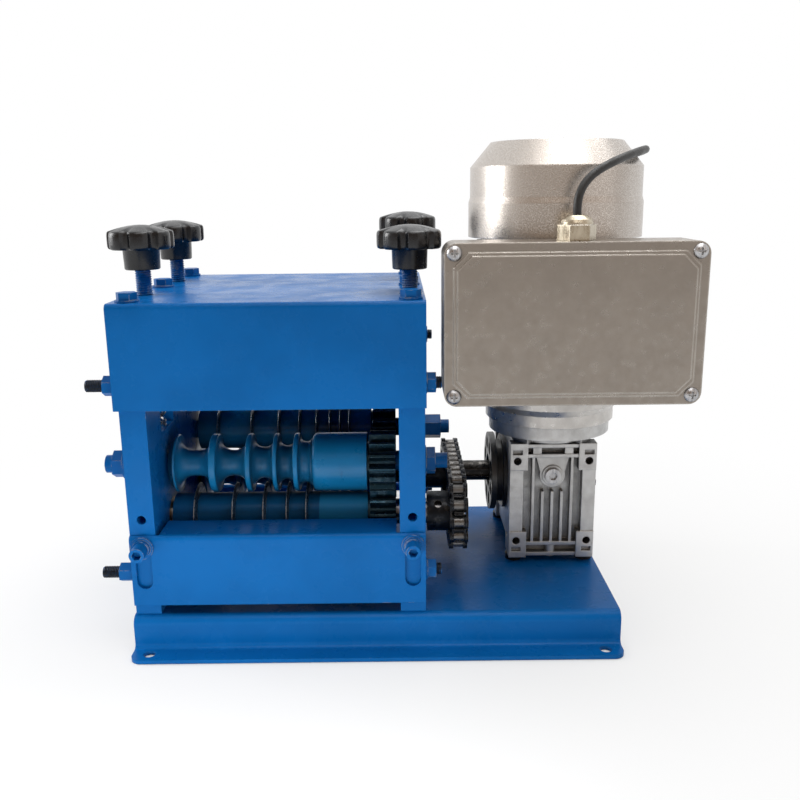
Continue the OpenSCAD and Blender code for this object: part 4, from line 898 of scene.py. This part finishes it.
@dataclass
class PressureSprings:
    """Smooth round-wire springs between the sliding blocks and their pads."""

    roller: Roller
    low: float = 159.5
    high: float = 194.5
    wire: float = 1.3
    radius: float = 7.4
    turns: int = 6
    lift: float = 5.0
    seat_gap: float = 0.05
    pad_gap: float = 0.35
    closed: float = 0.75
    even: float = 0.35
    steps: int = 28
    sides: int = 12

    def build(self) -> None:
        """Makes both springs of one roller in place of the plain ones."""
        end, y = self.roller.word, self.roller.value
        for side in Side:
            top = self.high + knob_up(self.roller, side)
            made = MeshMaker()
            made.rings(self.coil(top), Matrix.Translation((mm(side.value), mm(y), 0.0)))
            obj = made.piece(f"{end}_{side.word}_spring", f"{end}_carriage", FinishShelf.SPRING,
                             60.0)
            if side is Side.LEFT:
                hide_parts(f"{end}_springs")
            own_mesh(obj)

    def coil(self, top: float) -> list[list[Point]]:
        """Works out one spring's wire.

        Args:
            top: the height of the pad above it, in millimetres.

        Returns:
            The wire's rings.
        """
        low, high = self.low + self.wire + self.seat_gap, top - self.wire - self.pad_gap
        rows = []
        for i in range(self.turns * self.steps + 1):
            turn = i / self.steps
            ease = min(1.0, max(0.0, (turn - self.closed) / (self.turns - 2 * self.closed)))
            rise = self.even * turn / self.turns + (1.0 - self.even) * ease
            a = 2 * math.pi * turn
            out = Vector((math.cos(a), math.sin(a), 0.0))
            centre = self.radius * out + Vector((0.0, 0.0, low + (high - low) * rise))
            rows.append([tuple((centre + self.wire * (x * out + Vector((0.0, 0.0, y)))) / 1000.0)
                         for x, y, _ in circle(1.0, 0.0, self.sides)])
        return rows


@dataclass
class PowerLead:
    """Black lead from the gland, over the fan cover and down to a coil behind the base."""

    diameter: float = 6.0
    coil_x: float = -70.0
    coil_y: float = 190.0
    coil_radius: float = 40.0
    step: float = 6.7
    layer: float = 6.6
    turns: int = 2
    tail: float = 26.0
    strap_width: float = 6.0
    strap_thick: float = 0.9
    strap_room: float = 0.6
    strap_head: float = 1.3
    strap_low: float = 0.1
    strap_angle: float = 20.0
    route: tuple[Point, ...] = (
        (144, -88, 318), (144, -88, 324.5), (145.3, -87.3, 332), (148.9, -85.5, 339), (155, -82.4, 345.2),
        (164, -77.2, 350.6), (177, -66.5, 356), (193, -48, 361), (208, -20, 364.5), (214, 10, 364.5),
        (211, 42, 361), (189, 70, 345),
        (166, 83, 317), (152, 90, 270), (147, 94, 220), (145, 99, 160), (143, 107, 100), (140, 120, 55),
        (134, 134, 28), (124, 144, 12), (110, 149, 5), (92, 150, 3), (60, 150, 3), (20, 150, 3),
        (-20, 150, 3), (-64, 150, 3))

    def smooth(self, steps: int = 6) -> list[Vector]:
        """Rounds the route between its points.

        Args:
            steps: new points for each stretch.

        Returns:
            The smooth route, in millimetres.
        """
        p = [Vector(q) for q in self.route]
        p = [2 * p[0] - p[1], *p, 2 * p[-1] - p[-2]]
        made = []
        for a, b, c, d in zip(p, p[1:], p[2:], p[3:]):
            for k in range(steps):
                t = k / steps
                square, cube = 2 * a - 5 * b + 4 * c - d, 3 * b - a - 3 * c + d
                spot = 0.5 * (2 * b + (c - a) * t + square * t * t + cube * t ** 3)
                spot.z = max(spot.z, self.diameter / 2)
                made.append(spot)
        return made

    def coil(self, rings: int = 48) -> list[Vector]:
        """Works out the put-away coil, which runs in and out again in two layers.

        Args:
            rings: points for each turn.

        Returns:
            The points of the coil and its tail, in millimetres.
        """
        low = self.diameter / 2
        flat, climb = self.turns * rings, rings // 2
        inner = self.coil_radius - self.turns * self.step
        made = []
        for i in range(2 * flat + climb + 1):
            a = math.radians(-90.0 - 360.0 * i / rings)
            c, o = (i - flat) / rings, (i - flat - climb) / rings
            if i <= flat:
                r, z = self.coil_radius - self.step * i / rings, low
            elif o <= 0:
                r, z = inner - self.step / 4 * math.sin(2 * math.pi * c), low + self.layer * 2 * c
            else:
                r, z = inner + self.step * o, low + self.layer
            made.append(Vector((self.coil_x + r * math.cos(a), self.coil_y + r * math.sin(a), z)))
        for k in (1, 2, 3):
            x = self.coil_x + k * self.tail / 3
            made.append(Vector((x, self.coil_y + self.coil_radius, low + self.layer)))
        return made

    def build(self) -> None:
        """Makes the lead as one curve, with a tie round its coil."""
        path = [p / 1000.0 for p in (*self.smooth(), Vector(self.route[-1]), *self.coil())]
        curve = bpy.data.curves.new("power_lead", "CURVE")
        curve.dimensions = "3D"
        curve.bevel_depth = mm(self.diameter / 2)
        curve.bevel_resolution = 5
        curve.use_fill_caps = True
        line = curve.splines.new("POLY")
        line.points.add(len(path) - 1)
        for spot, p in zip(line.points, path):
            spot.co = (*p, 1.0)
        line.use_smooth = True
        curve.materials.append(FinishShelf.get(FinishShelf.RUBBER))
        obj = stand("power_lead", curve)
        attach(obj, "frame")
        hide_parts("power_cord", "cord_coil")
        self.tie()

    def tie(self) -> bpy.types.Object:
        """Makes the strap that holds the coil's turns together.

        Returns:
            The strap.
        """
        made = MeshMaker()
        inner = self.coil_radius - (self.turns + 0.5) * self.step + self.strap_room
        outer = self.coil_radius + self.diameter / 2 + self.strap_room
        mid, half = (inner + outer) / 2, (outer - inner) / 2
        tall = (2 * self.diameter + self.strap_head) / 2
        side, count, square = self.strap_width / 2, 48, 6
        section = ((0.0, -side), (0.0, side), (self.strap_thick, side), (self.strap_thick, -side))
        rows = []
        for c, s, _ in circle(1.0, 0.0, count):
            bulge = (abs(c) ** square + abs(s) ** square) ** (-1 / square)
            rows.append([(mm(mid + (half + d) * c * bulge), mm(w),
                          mm(max(self.strap_low, tall + (tall + d) * s * bulge))) for d, w in section])
        rows.append(rows[0])
        spin = Matrix.Rotation(math.radians(self.strap_angle), 4, "Z")
        place = Matrix.Translation((mm(self.coil_x), mm(self.coil_y), 0.0)) @ spin
        made.rings(rows, place, cap=False)
        return made.piece("coil_tie", "frame", FinishShelf.PLUG)


class Dresser:
    """Gives every solid of the machine its finish."""

    CHOICE: dict[Any, tuple[str, ...]] = {
        FinishShelf.BLUE: ("base", "left_plate", "right_plate", "top_cover", "lower_panel", "front_blocks",
                           "rear_blocks"),
        FinishShelf.BOLT_BLUE: ("frame_bolts", "tie_rods", "panel_screws", "front_axle", "rear_axle"),
        FinishShelf.ROLLER_BLUE: ("front_upper_roller", "rear_lower_roller", "rear_upper_spacers"),
        FinishShelf.SHADED_SPACER_BLUE: ("front_lower_spacers",),
        FinishShelf.BLADE: ("front_lower_blades", "rear_upper_blades"),
        FinishShelf.GEAR: ("front_upper_gear", "front_lower_gear", "rear_upper_gear", "rear_lower_gear"),
        FinishShelf.CHAIN: ("drive_chain",),
        FinishShelf.SPROCKET: ("front_sprocket", "rear_sprocket"),
        FinishShelf.SHAFT: ("drive_shaft", "gearbox_fixings", "worm_wheel"),
        FinishShelf.STEEL: ("front_lower_shaft", "pad_front_left", "pad_front_right", "pad_rear_left",
                            "pad_rear_right", "worm_shaft", "motor_rotor", "lid_screws", "oil_plug"),
        FinishShelf.CASTING: ("gearbox_housing", "input_flange"),
        FinishShelf.MOTOR: ("motor_shield", "motor_frame", "rear_shield"),
        FinishShelf.COVER_DARK: ("gearbox_cover",),
        FinishShelf.HAMMERED: ("fan_cover",),
        FinishShelf.BOX: ("box_body", "box_lid"),
        FinishShelf.GLAND: ("cable_gland",),
        FinishShelf.BRONZE: ("lower_bushes",),
        FinishShelf.KNOB: ("knob_front_left", "knob_front_right", "knob_rear_left", "knob_rear_right"),
        FinishShelf.PLUG: ("mains_plug",),
        FinishShelf.FAN: ("cooling_fan", "output_cap"),
        FinishShelf.RUBBER: ("power_cord", "cord_coil"),
        FinishShelf.SPRING: ("front_springs", "rear_springs"),
        FinishShelf.COPPER: ("motor_stator",),
    }

    def dress(self) -> None:
        """Puts the chosen finish on each solid."""
        for finish, names in self.CHOICE.items():
            for name in names:
                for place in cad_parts[name].material_slots:
                    place.material = FinishShelf.get(finish)
            LOG.info("dressed %d solids in %s", len(names), finish.name)
        left = set(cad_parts) - {n for names in self.CHOICE.values() for n in names}
        if left:
            raise ValueError(f"no finish for {sorted(left)}")


@dataclass
class Studio:
    """Pale floor, soft lamps and the camera at the photograph's place."""

    eye: Point = (0.01863, -0.70578, 0.33546)
    down: float = 13.58
    lean: float = -0.64
    focal: float = 864.51
    width: float = 800.0
    sensor: float = 36.0
    soft: float = 0.5
    floor_half: float = 6.0
    floor_z: float = -0.0004
    floor_tone: Colour = (0.86, 0.86, 0.86)
    floor_glow: float = 0.62
    shadow_near: float = 0.18
    shadow_far: float = 0.62
    contact_shadow_reach: float = 0.01
    white: Colour = (1.0, 1.0, 1.0)
    dusk: Colour = (0.14, 0.12, 0.1)
    room: Colour = (0.4, 0.3, 0.225)

    def camera(self) -> None:
        """Places the camera."""
        data = bpy.data.cameras.new("photo_camera")
        data.sensor_width = self.sensor
        data.lens = self.sensor * self.focal / self.width
        data.clip_start = 0.01
        data.clip_end = 50.0
        obj = stand("photo_camera", data)
        pitch = Matrix.Rotation(math.radians(90.0 - self.down), 4, "X")
        roll = Matrix.Rotation(math.radians(self.lean), 4, "Z")
        obj.matrix_world = Matrix.Translation(self.eye) @ pitch @ roll
        bpy.context.scene.camera = obj

    @staticmethod
    def lamp(name: str, spot: Point, size: tuple[float, float], power: float,
             aim: Point = (0.02, -0.05, 0.16), mirrored: bool = True) -> None:
        """Adds a soft lamp that faces the machine.

        Args:
            name: the lamp's name.
            spot: where it stands.
            size: its width and height.
            power: its power in watts.
            aim: the point it faces.
            mirrored: whether reflections show it.
        """
        data = bpy.data.lights.new(name, "AREA")
        data.shape = "RECTANGLE"
        data.size, data.size_y = size
        data.energy = power
        obj = stand(name, data)
        obj.location = spot
        obj.rotation_mode = "QUATERNION"
        obj.rotation_quaternion = (Vector(aim) - Vector(spot)).to_track_quat("-Z", "Y")
        obj.visible_camera = False
        obj.visible_glossy = mirrored

    @staticmethod
    def seen(nodes: NodeWriter) -> bpy.types.NodeSocket:
        """Finds the rays that show the background, straight or in a reflection.

        Args:
            nodes: the tree that asks.

        Returns:
            A value socket, 1 on those rays and 0 on others.
        """
        rays = nodes.node("ShaderNodeLightPath").outputs
        mirrored = nodes.sum("MAXIMUM", rays["Is Camera Ray"], rays["Is Glossy Ray"])
        return nodes.sum("MAXIMUM", mirrored, rays["Is Transmission Ray"])

    def surround(self, nodes: NodeWriter, tone: Colour, strength: float) -> bpy.types.NodeSocket:
        """Makes a surround that is white behind the machine and dims towards the room in front.

        Args:
            nodes: the world's nodes.
            tone: the colour of the room in front.
            strength: how bright the surround is.

        Returns:
            The surround's shader socket.
        """
        ray = nodes.node("ShaderNodeTexCoord").outputs["Generated"]
        back = nodes.node("ShaderNodeSeparateXYZ", Vector=ray).outputs["Y"]
        ramp = nodes.node("ShaderNodeValToRGB")
        nodes.feed(ramp.inputs[0], nodes.sum("ADD", nodes.sum("MULTIPLY", back, 0.5), 0.5))
        for stop, place, colour in ((0, 0.2, tone), (1, 0.62, self.white)):
            ramp.color_ramp.elements[stop].position = place
            ramp.color_ramp.elements[stop].color = (*colour, 1.0)
        return nodes.node("ShaderNodeBackground", Color=ramp.outputs[0], Strength=strength).outputs[0]

    def world(self) -> None:
        """Makes a white surround that lights the machine softly, with a brighter room in reflections."""
        world = bpy.data.worlds.new("studio")
        world.use_nodes = True
        world.node_tree.nodes.clear()
        nodes = NodeWriter(world.node_tree)
        total = self.surround(nodes, self.dusk, self.soft)
        mirror = self.surround(nodes, self.room, 1.0)
        plain = nodes.node("ShaderNodeBackground", Color=self.white).outputs[0]
        rays = nodes.node("ShaderNodeLightPath").outputs
        for kind, shade in (("Glossy", mirror), ("Transmission", plain), ("Camera", plain)):
            total = nodes.layer(rays[f"Is {kind} Ray"], total, shade)
        nodes.node("ShaderNodeOutputWorld", Surface=total)
        bpy.context.scene.world = world

    def floor(self) -> None:
        """Makes the pale floor, which keeps the machine's shadow, turns white away from it and has a painted
        contact shadow where it meets the machine.
        """
        half, low = self.floor_half, self.floor_z
        mesh = bpy.data.meshes.new("studio_floor")
        mesh.from_pydata([(-half, -half, low), (half, -half, low), (half, half, low), (-half, half, low)], [],
                         [(0, 1, 2, 3)])
        material = bpy.data.materials.new("floor_white")
        material.use_nodes = True
        material.node_tree.nodes.clear()
        nodes = NodeWriter(material.node_tree)
        matt = nodes.node("ShaderNodeBsdfDiffuse", Color=self.floor_tone).outputs[0]
        glow = nodes.node("ShaderNodeEmission", Strength=1.0).outputs[0]
        reach = nodes.node("ShaderNodeVectorMath", {"operation": "LENGTH"})
        nodes.feed(reach.inputs[0], nodes.node("ShaderNodeNewGeometry").outputs["Position"])
        fade = nodes.span(reach.outputs["Value"], self.shadow_near, self.shadow_far, self.floor_glow)
        # painted shade: occlusion turns the glow off close to the machine, a painted contact shadow
        outside_contact_shadow = nodes.node("ShaderNodeAmbientOcclusion", Distance=self.contact_shadow_reach).outputs["AO"]
        share = nodes.sum("MULTIPLY", nodes.sum("MULTIPLY", self.seen(nodes), fade), outside_contact_shadow)
        nodes.node("ShaderNodeOutputMaterial", Surface=nodes.layer(share, matt, glow))
        mesh.materials.append(material)
        stand("studio_floor", mesh)

    def build(self) -> None:
        """Sets up the whole studio."""
        bpy.context.scene.view_settings.view_transform = "Standard"
        self.world()
        self.floor()
        self.lamp("front_lamp", (0.12, -0.5, 1.3), (1.0, 0.8), 5.5)
        self.lamp("side_lamp", (-1.3, 0.12, 0.62), (0.7, 0.7), 12.0)
        self.lamp("fill_lamp", (1.15, -0.95, 0.75), (1.2, 1.2), 2.0)
        self.lamp("top_lamp", (0.35, 0.3, 1.5), (1.0, 1.0), 10.0)
        self.lamp("table_lamp", (-0.12, -0.36, 0.045), (0.4, 0.06), 0.5, (-0.09, -0.11, 0.055), False)
        self.camera()


def main() -> None:
    """Builds the studio, the lead and each dressed sub-assembly."""
    logging.basicConfig(level=logging.INFO, format="%(name)s: %(message)s")
    Studio().build()
    PowerLead().build()
    Dresser().dress()
    for roller in Roller:
        PressureSprings(roller).build()
        for side in Side:
            StarKnob(roller, side).build()
    RodThreads().build()


if __name__ == "__main__":
    main()
